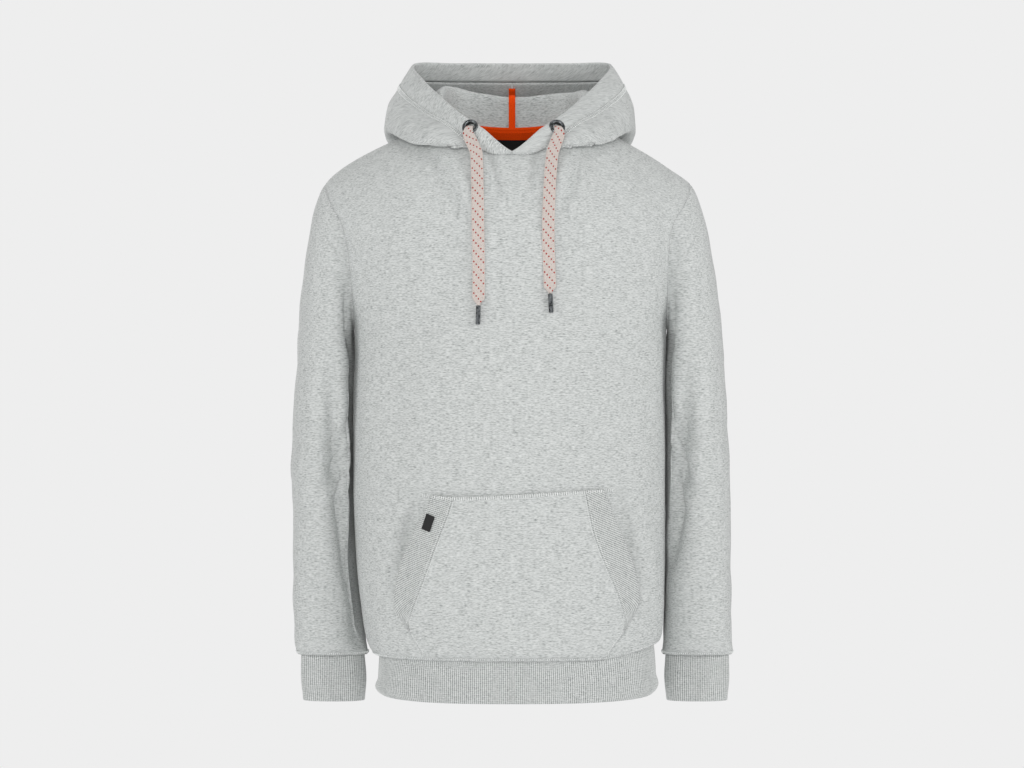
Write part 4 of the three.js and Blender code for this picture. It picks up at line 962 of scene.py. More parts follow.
def sleeve_uv(grid):
    """UV in metres with level courses: up to the armhole it is the place across the sleeve, to
    which the depth is added towards the outer side, and further down it eases into the distance
    round from the middle of the front or back."""
    wide = np.concatenate([grid, grid[:, :1]], 1)
    x, z = np.abs(wide[..., 0]), wide[..., 2]
    deep = SLEEVE_BOTH["depth"][0] - np.abs(wide[..., 1] - SLEEVE_BOTH["mid"][0])
    quarter = (wide.shape[1] - 1) // 4
    back = np.arange(wide.shape[1]) > 2 * quarter
    line = GRAIN["line"] - GRAIN["inwards"] * np.clip((z - UNDER_ARM) / 160, 0, 1)
    outer = np.clip((x - line) / GRAIN["stretch"], 0, 1)
    shown = -x - outer**2 * (3 - 2 * outer) * deep
    around = lengths(wide * [1, 1, 0], 1)
    from_front = around - around[:, quarter][:, None]
    from_back = around[:, 3 * quarter][:, None] - around
    below = np.clip((UNDER_ARM - z) / 80, 0, 1)
    gone_round = np.where(back, from_back, from_front) - GRAIN["line"]
    across = shown + below**2 * (3 - 2 * below) * (gone_round - shown)
    return np.stack([np.where(back, -across, across), z], -1) / 1000


def cloth(name, grid, normals, material, slot, thickness=0.0, uv=None, loop=False, keep=None):
    """Cloth on a grid of points, faces towards the normals; thickness is laid on inside them, and
    keep picks the faces that stay by their middles. Without a UV map of its own, the map is the
    distance along the cloth in metres, from the middle column and the first row."""
    rows, columns = grid.shape[:2]
    row, column = quads(rows, columns, loop)
    if uv is None:
        wide = np.concatenate([grid, grid[:, :1]], 1) if loop else grid
        uv = np.stack([from_middle(wide), lengths(wide, 0)], -1) / 1000
    faces = row * columns + column % columns
    corner_uv = uv[row, column]
    flat = grid.reshape(-1, 3)
    made = np.cross(flat[faces[:, 1]] - flat[faces[:, 0]], flat[faces[:, 3]] - flat[faces[:, 0]])
    if np.sum(made * normals.reshape(-1, 3)[faces[:, 0]]) < 0:
        faces, corner_uv = faces[:, ::-1], corner_uv[:, ::-1]
    if keep is not None:
        stays = keep(flat[faces].mean(1))
        faces, corner_uv = faces[stays], corner_uv[stays]
    piece = make_mesh(name, flat, faces, corner_uv, material)
    if thickness:
        wall = piece.modifiers.new("wall", "SOLIDIFY")
        wall.thickness = thickness / 1000
        wall.offset = -1
    return on_garment(piece)


def cord_bar(name, rings, material, uv):
    """Closed bar through rings of points, with both ends shut by a face each. Its faces are turned
    round where they point inwards."""
    count, around = rings.shape[:2]
    row, column = quads(count, around, loop=True)
    flat = rings.reshape(-1, 3)
    sides, side_uv = row * around + column % around, uv[row, column]
    ends = [np.arange(around)[::-1], (count - 1) * around + np.arange(around)]
    end_uv = [uv[0, :around][::-1], uv[-1, :around]]
    a, b, _, d = flat[sides[0]]
    if np.dot(np.cross(b - a, d - a), a - rings[0].mean(0)) < 0:
        sides, side_uv = sides[:, ::-1], side_uv[:, ::-1]
        ends, end_uv = [end[::-1] for end in ends], [end[::-1] for end in end_uv]
    faces = sides.tolist() + [end.tolist() for end in ends]
    corner_uv = np.vstack([side_uv.reshape(-1, 2), *end_uv])
    return on_garment(make_mesh(name, flat, faces, corner_uv, material))


def edge_distance(grid, sides, ends):
    """Distance along the cloth to the nearest side or end of a grid."""
    across, up = lengths(grid, 1), lengths(grid, 0)
    near = np.full(grid.shape[:2], 1e6)
    if sides:
        near = np.minimum(near, np.minimum(across, across[:, -1:] - across))
    if ends:
        near = np.minimum(near, np.minimum(up, up[-1:] - up))
    return near


def edge_fade(grid, reach, sides=True):
    """1 inside a grid and 0 on its edges, rising over a reach, so that seams stay together."""
    return 1 - np.exp(-((edge_distance(grid, sides, True) / reach) ** 2))


def seam_dip(grid, sides=True, ends=True, depth=0.45, reach=3.5):
    """A shallow valley along the edges of a piece, where its seam pulls the cloth in."""
    return -depth * np.exp(-((edge_distance(grid, sides, ends) / reach) ** 2))


def panel(face, fine):
    """Body panel: hem seam, sections up to the underarm, then up to the neck and shoulder edge,
    with its creases and unevenness laid on along its normals. Returns its grid and normals."""
    half = np.linspace(0, 1, 10 * fine + 1)
    columns = np.concatenate([-half[:0:-1], half])
    low = np.concatenate([[-696, -694, -691], np.linspace(-688, -279, 11 * fine)])
    share = 1 - (1 - np.linspace(0, 1, 12 * fine)) ** 2
    x = panel_lower(face, columns, np.array([-696.0]))[0]
    turn = np.arctan2(x[:, 0], -x[:, 1])
    tuck = np.stack([hip_ring(HEM, turn, np.full_like(turn, z), out) for z, out in HEM_TUCK])
    grid = np.concatenate([tuck, panel_lower(face, columns, low), panel_upper(face, columns, share)])
    grid[..., 2] += hem_rise(grid[..., 0]) * np.exp(-np.clip(grid[..., 2] - HEM_SEAM, 0, None) / 30)
    normals = outward(grid, -face)
    flat = normals * [1, 0, 1]
    side = np.zeros(grid.shape[:2], bool)
    side[: len(low) + 3, [0, -1]] = True
    side[-1] = np.abs(grid[-1, :, 0]) >= NECK_HALF - 0.01
    normals = np.where(side[..., None], unit(flat), normals)
    table, uneven = (CREASES_FRONT, "front") if face < 0 else (CREASES_BACK, "back")
    swell = crease(table, grid[..., 0], grid[..., 2])
    swell += ripple(lengths(grid, 1), grid[..., 2], *UNEVEN[uneven]) * edge_fade(grid, 25)
    swell += seam_dip(grid[2:], ends=False)[np.maximum(np.arange(len(grid)) - 2, 0)]
    swell[:3] *= 0.2
    grid = grid + normals * swell[..., None]
    on_neck = np.clip((NECK_HALF - np.abs(grid[-1:, :, :1])) / 8, 0, 1)
    allowance = grid[-1:] - normals[-1:] * 1.5 + on_neck * [0, 0, 4.5]
    return np.concatenate([grid, allowance]), np.concatenate([normals, normals[-1:]])


def sleeve(which, fine):
    """Sleeve with its creases, whose place across is the distance round from the middle of its front.
    Returns its grid and normals."""
    count = 22 * fine
    turns = np.arange(count) / count * 2 * np.pi
    cap = np.linspace(0, 1, 9 * fine)[:-1] ** 1.15
    heights = np.concatenate([np.linspace(-320, -680, 9 * fine), [-684, -688, -691, -694, -696, -697]])
    grid = sleeve_grid(which, turns, cap, heights)
    normals = outward(grid, 1, loop=True)
    if normals[len(cap), 0, 0] * SIDES[which] < 0:
        normals = -normals
    around = lengths(np.concatenate([grid, grid[:, :1]], 1), 1)[:, :-1]
    quarter = around[:, count // 4][:, None]
    swell = crease(CREASES_SLEEVE[which], quarter - around, grid[..., 2])
    swell += ripple(around, grid[..., 2], *UNEVEN[f"sleeve_{which}"])
    swell *= edge_fade(grid, 22, sides=False)
    swell += seam_dip(grid, sides=False)
    return grid + normals * swell[..., None], normals


def hood_half(which, fine):
    """Half of the hood with its creases and unevenness; columns run round the neck, rows up. Returns
    its grid and normals."""
    sign = SIDES[which]
    along = np.linspace(0, 1, 12 * fine)
    grid = hood_grid(sign, along, np.linspace(0, 1, 14 * fine))
    normals = outward(grid, 1)
    if normals[10 * fine, 6 * fine, 0] * sign < 0:
        normals = -normals
    normals[:, -1] = unit(normals[:, -1] * [0, 1, 1])
    place, up = np.meshgrid(along * 100, np.linspace(0, 100, 14 * fine))
    swell = crease(CREASES_HOOD, place, up)
    swell += ripple(lengths(grid, 1), lengths(grid, 0), *UNEVEN[f"hood_{which}"])
    swell = swell * edge_fade(grid, 14) + seam_dip(grid)
    return grid + normals * swell[..., None], normals


def band_side(which, fine):
    """Section rings of the hood band on one side, front to back, each a closed profile: slightly
    crowned outside, round fold at the free edge, and the inner layer back to the seam. The outward
    directions are averaged along the band."""
    front = np.arange(4 * fine) / (4 * fine)
    along = np.linspace(0, 1, 16 * fine)
    seam, out, across, width = band_frame(SIDES[which], front, along)
    kernel = np.hanning(2 * fine + 1)
    kernel /= kernel.sum()
    padded = np.pad(out, ((fine, fine), (0, 0)), mode="edge")
    out = unit(np.stack([np.convolve(padded[:, k], kernel, "valid") for k in range(3)], -1))
    width = width[:, None]
    soft = np.minimum(BAND_THICK / 2, width * 0.3)
    rise = np.linspace(0, 1, 16)[None]
    place = np.arange(len(seam))[:, None] * 2.5 + 0 * rise
    swell = ripple(place, rise * 22, *UNEVEN[f"band_{which}"])
    crown = np.sin(np.pi * rise) ** 0.6 * np.minimum(1.2, width * 0.08)
    outer = [(width - soft) * rise, -(crown + swell * np.sin(np.pi * rise)) + 0.5 * (1 - rise) ** 8]
    outer = [np.concatenate([0 * width + sewn_in, part], 1) for sewn_in, part in zip((-2.2, 1.6), outer)]
    turn = np.linspace(0, np.pi, 9)[None, 1:-1]
    fold = [width - soft + soft * np.sin(turn), BAND_THICK / 2 * (1 - np.cos(turn)) + 0 * width]
    back = np.linspace(1, 0, 12)[None]
    start = np.minimum(2.6, width * 0.4)
    inner = [start + (width - soft - start) * back, BAND_THICK + 0 * width + 0.5 * np.sin(np.pi * back)]
    up, deep = (np.concatenate([a, b, c], 1) for a, b, c in zip(outer, fold, inner))
    return seam[:, None] + across[:, None] * up[..., None] - out[:, None] * deep[..., None]


def ribbed_tube(surface, ribs, heights, inside, stretch, uneven):
    """Tube of rib knit: rows down the outside with a cosine of ribs, a round lower edge, and a
    plain inside. Surface takes turn, height and distance out. Returns grid and UV."""
    count = ribs * 4
    turn = np.arange(count) / count * 2 * np.pi
    wave = (0.5 + 0.5 * np.cos(np.arange(count) * np.pi / 2)) * RIB_RISE
    top, bottom = heights
    down = np.linspace(top, bottom + 1, 15)
    swell = ripple(np.degrees(turn)[None] * 1.5 + 0 * down[:, None], down[:, None] * 0.6, *uneven)
    fade = np.sin(np.pi * (down - top) / (bottom - top))
    profile = [(z, wave + stretch * f + u * f) for z, f, u in zip(down, fade, swell)]
    profile += [(bottom, wave - 0.7), (bottom, 0 * wave - inside + 0.6)]
    profile += [(z, 0 * wave - inside) for z in (bottom + 1, (top + bottom) / 2, top)]
    grid = np.stack([surface(turn, np.full(count, z), out) for z, out in profile])
    across = np.broadcast_to(np.arange(count + 1) / 4, (len(profile), count + 1))
    up = lengths(grid, 0).mean(1)[:, None] / 1000
    return grid, np.stack([across, np.broadcast_to(up, across.shape)], -1)


def pocket_grid(columns, rows):
    """Places across, heights and unevenness of the pocket cloth, between its trims and from the hem
    seam to the top."""
    z = np.linspace(HEM_SEAM, POCKET["z"][-1], rows)[:, None]
    below = np.clip(POCKET["z"][0] - z, 0, None) * 0.5
    right = look(POCKET, "z", "right", z) + SEAM_GAP / 2 + below
    left = look(POCKET, "z", "left", z) - SEAM_GAP / 2 - below
    x = right + np.linspace(0, 1, columns)[None] * (left - right)
    z = z + 0 * x
    return x, z, ripple(x, z, *UNEVEN["pocket"])


def trim_grid(which, columns, rows):
    """Places across and heights of a pocket opening's rib trim, from its inner seam, which it
    overlaps by 1.6 mm, to its outer edge."""
    z = np.linspace(-480.5, -657, rows)[:, None]
    inner = look(POCKET, "z", which, z)
    outer = look(POCKET, "z", f"{which}_out", z)
    sign = SIDES[which]
    x = inner - sign * 1.6 + np.linspace(0, 1, columns)[None] * (outer - inner + sign * 1.6)
    return x, z + 0 * x


def stitches(name, lines, material):
    """Rows of thread: each line has points, normals, pitch, length, width and whether its stitches
    lie crosswise. A stitch is a small six-sided bead of three rings between two tips."""
    angle = np.arange(6) / 6 * 2 * np.pi
    ring = np.stack([0 * angle, np.cos(angle), np.sin(angle)], -1)
    bead = [np.array([[-0.5, 0, 0]])]
    bead += [ring * [1, r, r] + [x, 0, 0] for x, r in ((-0.34, 0.8), (0.0, 1.0), (0.34, 0.8))]
    bead = np.concatenate([*bead, [[0.5, 0, 0]]])
    step = np.arange(6)
    after = (step + 1) % 6
    faces = [np.stack([0 * step, 1 + after, 1 + step], -1)]
    for base in (1, 7):
        faces.append(np.stack([base + step, base + after, base + 6 + after], -1))
        faces.append(np.stack([base + step, base + 6 + after, base + 6 + step], -1))
    faces.append(np.stack([13 + step, 13 + after, 0 * step + 19], -1))
    faces = np.concatenate(faces)
    spots = []
    for points, normals, pitch, long, wide, crosswise in lines:
        gone = lengths(points, 0)
        at = np.arange(pitch / 2, gone[-1], pitch)
        where = np.stack([np.interp(at, gone, points[:, k]) for k in range(3)], -1)
        out = unit(np.stack([np.interp(at, gone, normals[:, k]) for k in range(3)], -1))
        tangent = unit(np.stack([np.interp(at, gone, np.gradient(points[:, k])) for k in range(3)], -1))
        across = unit(np.cross(out, tangent))
        run, lie = (across, tangent) if crosswise else (tangent, across)
        local = bead * [long, wide / 2, wide / 3]
        beads = where[:, None] + local[None, :, :1] * run[:, None] + local[None, :, 1:2] * lie[:, None]
        spots.append(beads + local[None, :, 2:] * out[:, None])
    points = np.concatenate(spots)
    all_faces = (faces[None] + 20 * np.arange(len(points))[:, None, None]).reshape(-1, 3)
    a, b, c = points[0, faces[0]]
    if np.dot(np.cross(b - a, c - a), a - points[0].mean(0)) < 0:
        all_faces = all_faces[:, ::-1]
    uv = np.zeros((len(all_faces), 3, 2))
    on_garment(make_mesh(name, points, all_faces, uv, material))


def along_seam(points, normals, away, distance, pitch, long, wide):
    """A row of straight stitches beside a seam, at a distance along the way off it."""
    return points + away * distance + normals * 0.5, normals, pitch, long, wide, False


def ladder(points, normals, away, distance, pitch, reach, wide):
    """A coverstitch: threads across a seam, close together."""
    return points + away * distance + normals * 0.5, normals, pitch, reach, wide, True


def hem_line(turn, z):
    """Outer line of the panels where they roll in over the hem rib, by turn round the body."""
    line = hip_ring(BODY, turn, z, 0)
    line[..., 2] += hem_rise(line[..., 0])
    return line


def across_seam(low, high, pitch, reach, wide):
    """A coverstitch on the cloth between two lines round a seam, its threads from one to the other."""
    middle, away = (low + high) / 2, unit(high - low)
    normal = unit(np.cross(np.gradient(middle, axis=0), away))
    outside = middle - middle.mean(0)
    normal *= np.where(np.sum(normal * outside, -1) < 0, -1, 1)[:, None]
    return middle + normal * 1.0, normal, pitch, reach, wide, True


class HoodieSizes(bpy.types.PropertyGroup):
    """Sizes of the cloth and how finely it is made."""

    cloth: bpy.props.FloatProperty(
        name="Fleece thickness", description="Thickness of the fleece", default=0.0022,
        min=0.001, max=0.004, subtype="DISTANCE", unit="LENGTH")
    rib: bpy.props.FloatProperty(
        name="Rib thickness", description="Thickness of the rib knit under its ribs", default=0.002,
        min=0.001, max=0.004, subtype="DISTANCE", unit="LENGTH")
    fine: bpy.props.IntProperty(
        name="Fineness", description="Mesh columns to each coarse column of a piece",
        default=8, min=2, max=12)
    stitch: bpy.props.FloatProperty(
        name="Stitch length", description="Distance from stitch to stitch", default=0.0029,
        min=0.0015, max=0.006, subtype="DISTANCE", unit="LENGTH")


def colour_property(name, description, hex_colour):
    """A colour that the user can change, from a sRGB hex value."""
    return bpy.props.FloatVectorProperty(
        name=name, description=description, subtype="COLOR", size=4, min=0, max=1,
        default=linear(hex_colour))


class HoodieColours(bpy.types.PropertyGroup):
    """Colours of the cloths, cords, tapes and metal."""

    fleece_dark: colour_property("Slubs", "Darkest yarn of the fleece", "#8A8E8D")
    fleece: colour_property("Fleece", "Usual colour of the fleece", "#C3C6C5")
    fleece_light: colour_property("Light yarn", "Lightest yarn of the fleece", "#DBDDDC")
    # Darkest stop of the rib knit: its darkest yarn, and also the painted shade in the grooves between the
    # ribs
    rib_yarn_and_groove_shade: colour_property("Rib grooves", "Darkest yarn of the rib knit", "#828685")
    rib: colour_property("Rib", "Usual colour of the rib knit", "#BDC0BF")
    rib_light: colour_property("Rib light yarn", "Lightest yarn of the rib knit", "#DADCDB")
    thread: colour_property("Thread", "Sewing thread", "#F1F3F2")
    thread_dark: colour_property("Thread shade", "Sewing thread between its twists", "#D5D8D7")
    tape: colour_property("Tape", "Orange twill tape", "#FF500C")
    tape_dark: colour_property("Tape shade", "Grooves of the twill", "#DC430A")
    label: colour_property("Label", "Black label cloth", "#0D0D0E")
    label_light: colour_property("Label threads", "Raised threads of the label cloth", "#1C1C1E")
    cord: colour_property("Drawcord", "Cream cotton of the drawcord", "#CFC5BF")
    cord_dark: colour_property("Drawcord shade", "Between the strands of the braid", "#ADA29D")
    cord_dots: colour_property("Drawcord dots", "Rust-red stitches of the drawcord", "#9C2A20")
    metal: colour_property("Gunmetal", "Plating of the eyelets and tips", "#4A4D4E")
    metal_worn: colour_property("Worn gunmetal", "Plating where it is rubbed", "#83878A")


def material(context, kind):
    """The material of a kind, made on first use."""
    c = context.scene.hoodie_colours
    makers = {
        "brushed_heather_fleece": (fleece_material, c.fleece_dark, c.fleece, c.fleece_light),
        "heather_rib_knit": (rib_material, c.rib_yarn_and_groove_shade, c.rib, c.rib_light),
        "orange_twill_tape": (tape_material, c.tape, c.tape_dark),
        "black_damask_cloth": (label_material, c.label, c.label_light),
        "polyester_sewing_thread": (thread_material, c.thread, c.thread_dark),
        "braided_cotton_cord": (cord_material, c.cord, c.cord_dark, c.cord_dots),
        "gunmetal_plated_brass": (metal_material, c.metal, c.metal_worn),
    }
    found = bpy.data.materials.get(kind)
    if found:
        return found
    maker, *colours = makers[kind]
    return maker(*(tuple(colour) for colour in colours))


class HOODIE_OT_drawcords(bpy.types.Operator):
    """Lays the two flat drawcords from their eyelets down the chest"""

    bl_idname = "hoodie.drawcords"
    bl_label = "Drawcords"

    def execute(self, context):
        braid = material(context, "braided_cotton_cord")
        for which in SIDES:
            places = np.concatenate([np.linspace(0, 0.96, 90), np.linspace(0.965, 1, 14)])
            line, length = cord_line(which, places)
            tangent = unit(np.gradient(line, axis=0))
            across = unit([1, 0, 0] - tangent[:, :1] * tangent)
            out = np.cross(tangent, across)
            start, end = np.clip(places / 0.1, 0, 1), np.clip((1 - places) / 0.04, 0, 1)
            ease = [t * t * (3 - 2 * t) for t in (start, end)]
            leaving = CORD_AT_EYELET + (CORD_WIDTH - CORD_AT_EYELET) * ease[0]
            ending = CORD_AT_TIP + (CORD_WIDTH - CORD_AT_TIP) * ease[1]
            half = np.minimum(leaving, ending) / 2
            thick = (CORD_THICK + 2 * (1 - ease[1])) / 2
            angle = (np.arange(28) + 0.5) / 28 * 2 * np.pi
            side = np.sign(np.cos(angle)) * np.abs(np.cos(angle)) ** 0.6
            rings = line[:, None] + across[:, None] * (half[:, None] * side)[..., None]
            rings = rings + out[:, None] * (thick[:, None] * np.sin(angle) * 0.95)[..., None]
            wide = np.append(side, side[0])[None] * half[:, None]
            uv = np.stack([wide, np.broadcast_to((places * length)[:, None], wide.shape)], -1) / 1000
            piece = cord_bar(f"cord_{which}", rings, braid, uv)
            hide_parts(f"drawcord_{which}")
            route = cord_line(which, np.linspace(0, 1, 40))[0] / 1000
        return {"FINISHED"}


class HOODIE_OT_metal(bpy.types.Operator):
    """Turns the eyelets with their barrels and plates the cord tips"""

    bl_idname = "hoodie.metal"
    bl_label = "Eyelets and cord tips"

    def execute(self, context):
        plated = material(context, "gunmetal_plated_brass")
        middle_radius = (EYELET_RADIUS + EYELET_HOLE) / 2
        swing = np.linspace(-0.15, np.pi + 0.15, 15)
        radius = np.concatenate([[EYELET_HOLE - 0.2], middle_radius - 2.25 * np.cos(swing)])
        rise = EYELET_HEIGHT * np.sin(np.clip(swing, 0, np.pi))
        height = np.concatenate([[-EYELET_BARREL], rise])
        turn = np.arange(56) / 56 * 2 * np.pi
        for which in SIDES:
            middle, out, across = eyelet_frame(which)
            side = np.cross(out, across)
            around = across * np.cos(turn)[:, None] + side * np.sin(turn)[:, None]
            grid = middle + out * 0.8 + around[None] * radius[:, None, None] + out * height[:, None, None]
            normals = unit(grid - (middle + around * middle_radius - out * 1.0))
            piece = cloth(f"eyelet_ring_{which}", grid, normals, plated, "gunmetal", 0.3, loop=True)
            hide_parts(f"eyelet_{which}")
            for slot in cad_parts[f"aglet_{which}"].material_slots:
                slot.material = plated
        return {"FINISHED"}


def sheet(node):
    """Hides the CAD solid that a cloth stands for."""
    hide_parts(node)


class HOODIE_OT_body(bpy.types.Operator):
    """Hangs the front and back panels with their creases"""

    bl_idname = "hoodie.body"
    bl_label = "Body"

    def execute(self, context):
        sizes = context.scene.hoodie_sizes
        fleece = material(context, "brushed_heather_fleece")
        for name, face in (("front", -1), ("back", 1)):
            grid, normals = panel(face, sizes.fine)
            below = np.clip((ridge(face, grid[..., 0]) - grid[..., 2]) / SHOULDER_ROUND, 0, 1)
            uv = level_uv(grid, 60 * (1 - below) ** 2)
            piece = cloth(f"{name}_cloth", grid, normals, fleece, "heather_fleece", sizes.cloth * 1000, uv)
            sheet(f"{name}_panel")
        return {"FINISHED"}


class HOODIE_OT_sleeves(bpy.types.Operator):
    """Hangs the two sleeves from the armholes down to the cuffs"""

    bl_idname = "hoodie.sleeves"
    bl_label = "Sleeves"

    def execute(self, context):
        sizes = context.scene.hoodie_sizes
        fleece = material(context, "brushed_heather_fleece")
        for which in SIDES:
            grid, normals = sleeve(which, sizes.fine)
            piece = cloth(f"sleeve_cloth_{which}", grid, normals, fleece, "heather_fleece",
                          sizes.cloth * 1000, uv=sleeve_uv(grid), loop=True)
            sheet(f"sleeve_{which}")
        return {"FINISHED"}


class HOODIE_OT_ribs(bpy.types.Operator):
    """Knits the hem rib and the cuffs"""

    bl_idname = "hoodie.ribs"
    bl_label = "Hem and cuffs"

    def execute(self, context):
        knit = material(context, "heather_rib_knit")
        inside = context.scene.hoodie_sizes.rib * 1000
        tubes = [("hem_knit", "hem_rib", "hem", hem_knit, HEM_RIBS, (-694.7, -750.3), 1.2,
                  ["front_cloth", "back_cloth"])]
        tubes += [(f"cuff_{which}_knit", f"cuff_{which}", "cuff", partial(cuff_ring, which), CUFF_RIBS,
                   (-694.2, -757.3), 1.0, [f"sleeve_cloth_{which}"]) for which in SIDES]
        for name, node, cut, surface, ribs, heights, stretch, rests_on in tubes:
            grid, uv = ribbed_tube(surface, ribs, heights, inside, stretch, UNEVEN[cut])
            count = grid.shape[1]
            turn = np.arange(count) / count * 2 * np.pi
            middle = surface(turn, np.full(count, sum(heights) / 2), np.full(count, -inside / 2))
            piece = cloth(name, grid, unit(grid - middle), knit, "heather_rib", uv=uv, loop=True)
            sheet(node)
        return {"FINISHED"}


class HOODIE_OT_hood(bpy.types.Operator):
    """Lays the hood open behind the neck with its folded band"""

    bl_idname = "hoodie.hood"
    bl_label = "Hood"

    def execute(self, context):
        sizes = context.scene.hoodie_sizes
        fleece = material(context, "brushed_heather_fleece")
        for which in SIDES:
            grid, normals = hood_half(which, sizes.fine)
            piece = cloth(f"hood_cloth_{which}", grid, normals, fleece, "heather_fleece",
                          sizes.cloth * 1000)
            sheet(f"hood_{which}")
        rings = np.concatenate([band_side("right", sizes.fine), band_side("left", sizes.fine)[-2::-1]])
        eyes = [eyelet_frame(which) for which in SIDES]

        def off_the_eyelets(middles):
            """True outside the holes that the eyelets line, which go through the outer layer alone."""
            near = np.zeros(len(middles), bool)
            for at, out, _ in eyes:
                off = middles - at
                high = off @ out
                near |= (np.linalg.norm(off - high[:, None] * out, axis=-1) < EYELET_CUT) & (high > -1.8)
            return ~near

        inner = rings.mean(1, keepdims=True)
        band = cloth("band_cloth", rings, unit(rings - inner), fleece, "heather_fleece", loop=True,
                     keep=off_the_eyelets)
        sheet("hood_band")
        return {"FINISHED"}


def pocket_cloth(sizes, fleece):
    """Pocket cloth: tucked 5 mm in at the hem seam and rolled in a little at its sewn top edge."""
    x, z, swell = pocket_grid(20 * sizes.fine, 14 * sizes.fine)
    base = on_pocket(x, z, FLEECE + swell)
    tucked = -5 * np.exp(-(((z - HEM_SEAM) / 6) ** 2))
    rolled = -0.5 * np.exp(-(((z - POCKET["z"][-1]) / 4) ** 2))
    high = FLEECE + swell * edge_fade(base, 12) + tucked
    grid = on_pocket(x, z, high + seam_dip(base, ends=False, depth=0.3) + rolled)
    piece = cloth("pocket_cloth", grid, body_normal(-1, x, z), fleece, "heather_fleece",
                  sizes.cloth * 1000, uv=level_uv(grid, 0))
    sheet("pocket_panel")


def pocket_trim(which, sizes, knit):
    """Rib trim: a cosine of ribs that run across it and drop towards its outer edge, tucked in
    along its inner seam."""
    columns, rows = 32, TRIM_RIBS * 6 + 1
    x, z = trim_grid(which, columns, rows)
    down, out = np.linspace(0, 1, rows)[:, None], np.linspace(0, 1, columns)[None]
    ribs = TRIM_RIBS * down - (5 + 3 * down) * out
    tucked = 1.3 * np.exp(-((out * 27 / 3) ** 2))
    height = RIB_WALL - tucked + RIB_RISE * (0.5 + 0.5 * np.cos(2 * np.pi * ribs))
    grid = on_pocket(x, z, height)
    uv = np.stack([ribs, lengths(grid, 1) / 1000], -1)
    trim = cloth(f"pocket_trim_{which}", grid, body_normal(-1, x, z), knit, "heather_rib",
                 sizes.rib * 1000 - 0.4, uv)
    sheet(f"pocket_rib_{which}")


def pocket_tab(black):
    """Bare tab: a small slanting rectangle over the right trim, 1 mm thick."""
    up, across = np.meshgrid(np.linspace(-0.5, 0.5, 24), np.linspace(-0.5, 0.5, 14), indexing="ij")
    z = TAB["z"] + up * TAB["height"] - across * TAB["drop"]
    x = TAB["x"] + across * TAB["width"] + up * TAB["lean"]
    grid = on_pocket(x, z, RIB_WALL + RIB_RISE + 1.6)
    tab = cloth("tab_cloth", grid, body_normal(-1, x, z), black, "black_label", 1.0)
    sheet("pocket_label")


class HOODIE_OT_pocket(bpy.types.Operator):
    """Sets the pocket on the front panel with its rib trims and bare tab"""

    bl_idname = "hoodie.pocket"
    bl_label = "Pocket"

    def execute(self, context):
        sizes = context.scene.hoodie_sizes
        fleece, knit = material(context, "brushed_heather_fleece"), material(context, "heather_rib_knit")
        pocket_cloth(sizes, fleece)
        for which in SIDES:
            pocket_trim(which, sizes, knit)
        pocket_tab(material(context, "black_damask_cloth"))
        return {"FINISHED"}


def neck_tape(twill):
    """Tape round the back of the neck, inside: its upper half stands up from the neck seam, its
    lower half slopes to the panel, and a soft roll runs along its top."""
    angles = np.linspace(122, 238, 90)
    seam = neck_point(np.minimum(angles, 360 - angles), np.where(angles > 180, -1, 1))
    inward = unit(seam * [-1 / NECK_HALF**2, -1 / 70**2, 0])
    low = body_point(1, seam[:, 0] * 1.04, seam[:, 2] - TAPE_HALF * 0.8)
    low = low - body_normal(1, low[:, 0], low[:, 2]) * (FLEECE + 3)
    rise = np.linspace(-1, 1, 21)[:, None, None]
    middle = seam + inward * (FLEECE + 2.6)
    roll = 0.7 * np.exp(-(((rise - 0.62) / 0.22) ** 2)) - 0.3 * np.exp(-(((rise - 0.3) / 0.08) ** 2))
    upper = middle + [0, 0, 1] * rise * TAPE_HALF
    grid = np.where(rise < 0, middle * (1 + rise) - low * rise, upper) + inward * (TAPE_THICK + roll)
    normals = np.broadcast_to(inward, grid.shape)
    piece = cloth("neck_tape_twill", grid, normals, twill, "orange_tape", TAPE_THICK)
    sheet("neck_tape")


def hood_tape(twill):
    """Tape down the hood's middle seam, inside: the seam's line, moved in, with a slight crown."""
    half = hood_grid(1, np.linspace(0, 1, 13), np.linspace(0.01, 0.985, 140))
    normals = outward(half, 1)
    normals *= -1 if normals[98, 6, 0] < 0 else 1
    line, out = half[:, -1], unit(normals[:, -1] * [0, 1, 1])
    across = np.linspace(-4.3, 4.3, 9)
    crown = 0.25 * np.cos(across / 4.3 * np.pi / 2)
    deep = (FLEECE + 1.5 + TAPE_THICK + crown)[None, :, None]
    grid = line[:, None] * [0, 1, 1] + across[None, :, None] * [1, 0, 0] - out[:, None] * deep
    inside = np.broadcast_to(-out[:, None], grid.shape)
    piece = cloth("hood_tape_twill", grid, inside, twill, "orange_tape", TAPE_THICK)
    sheet("hood_seam_tape")


def bare_label(black):
    """Label under the neck tape: a rectangle that follows the inside of the back panel."""
    x, z = np.meshgrid(np.linspace(-27, 27, 40), np.linspace(-19, -76, 40))
    inside = -body_normal(1, x, z)
    grid = body_point(1, x, z) + inside * (FLEECE + 2.2)
    piece = cloth("label_cloth", grid, inside, black, "black_label", 1.0)
    sheet("neck_label")


class HOODIE_OT_tapes(bpy.types.Operator):
    """Sews the orange tapes and the bare label inside the neck and hood"""

    bl_idname = "hoodie.tapes"
    bl_label = "Tapes and label"

    def execute(self, context):
        twill, black = material(context, "orange_twill_tape"), material(context, "black_damask_cloth")
        neck_tape(twill)
        hood_tape(twill)
        bare_label(black)
        return {"FINISHED"}


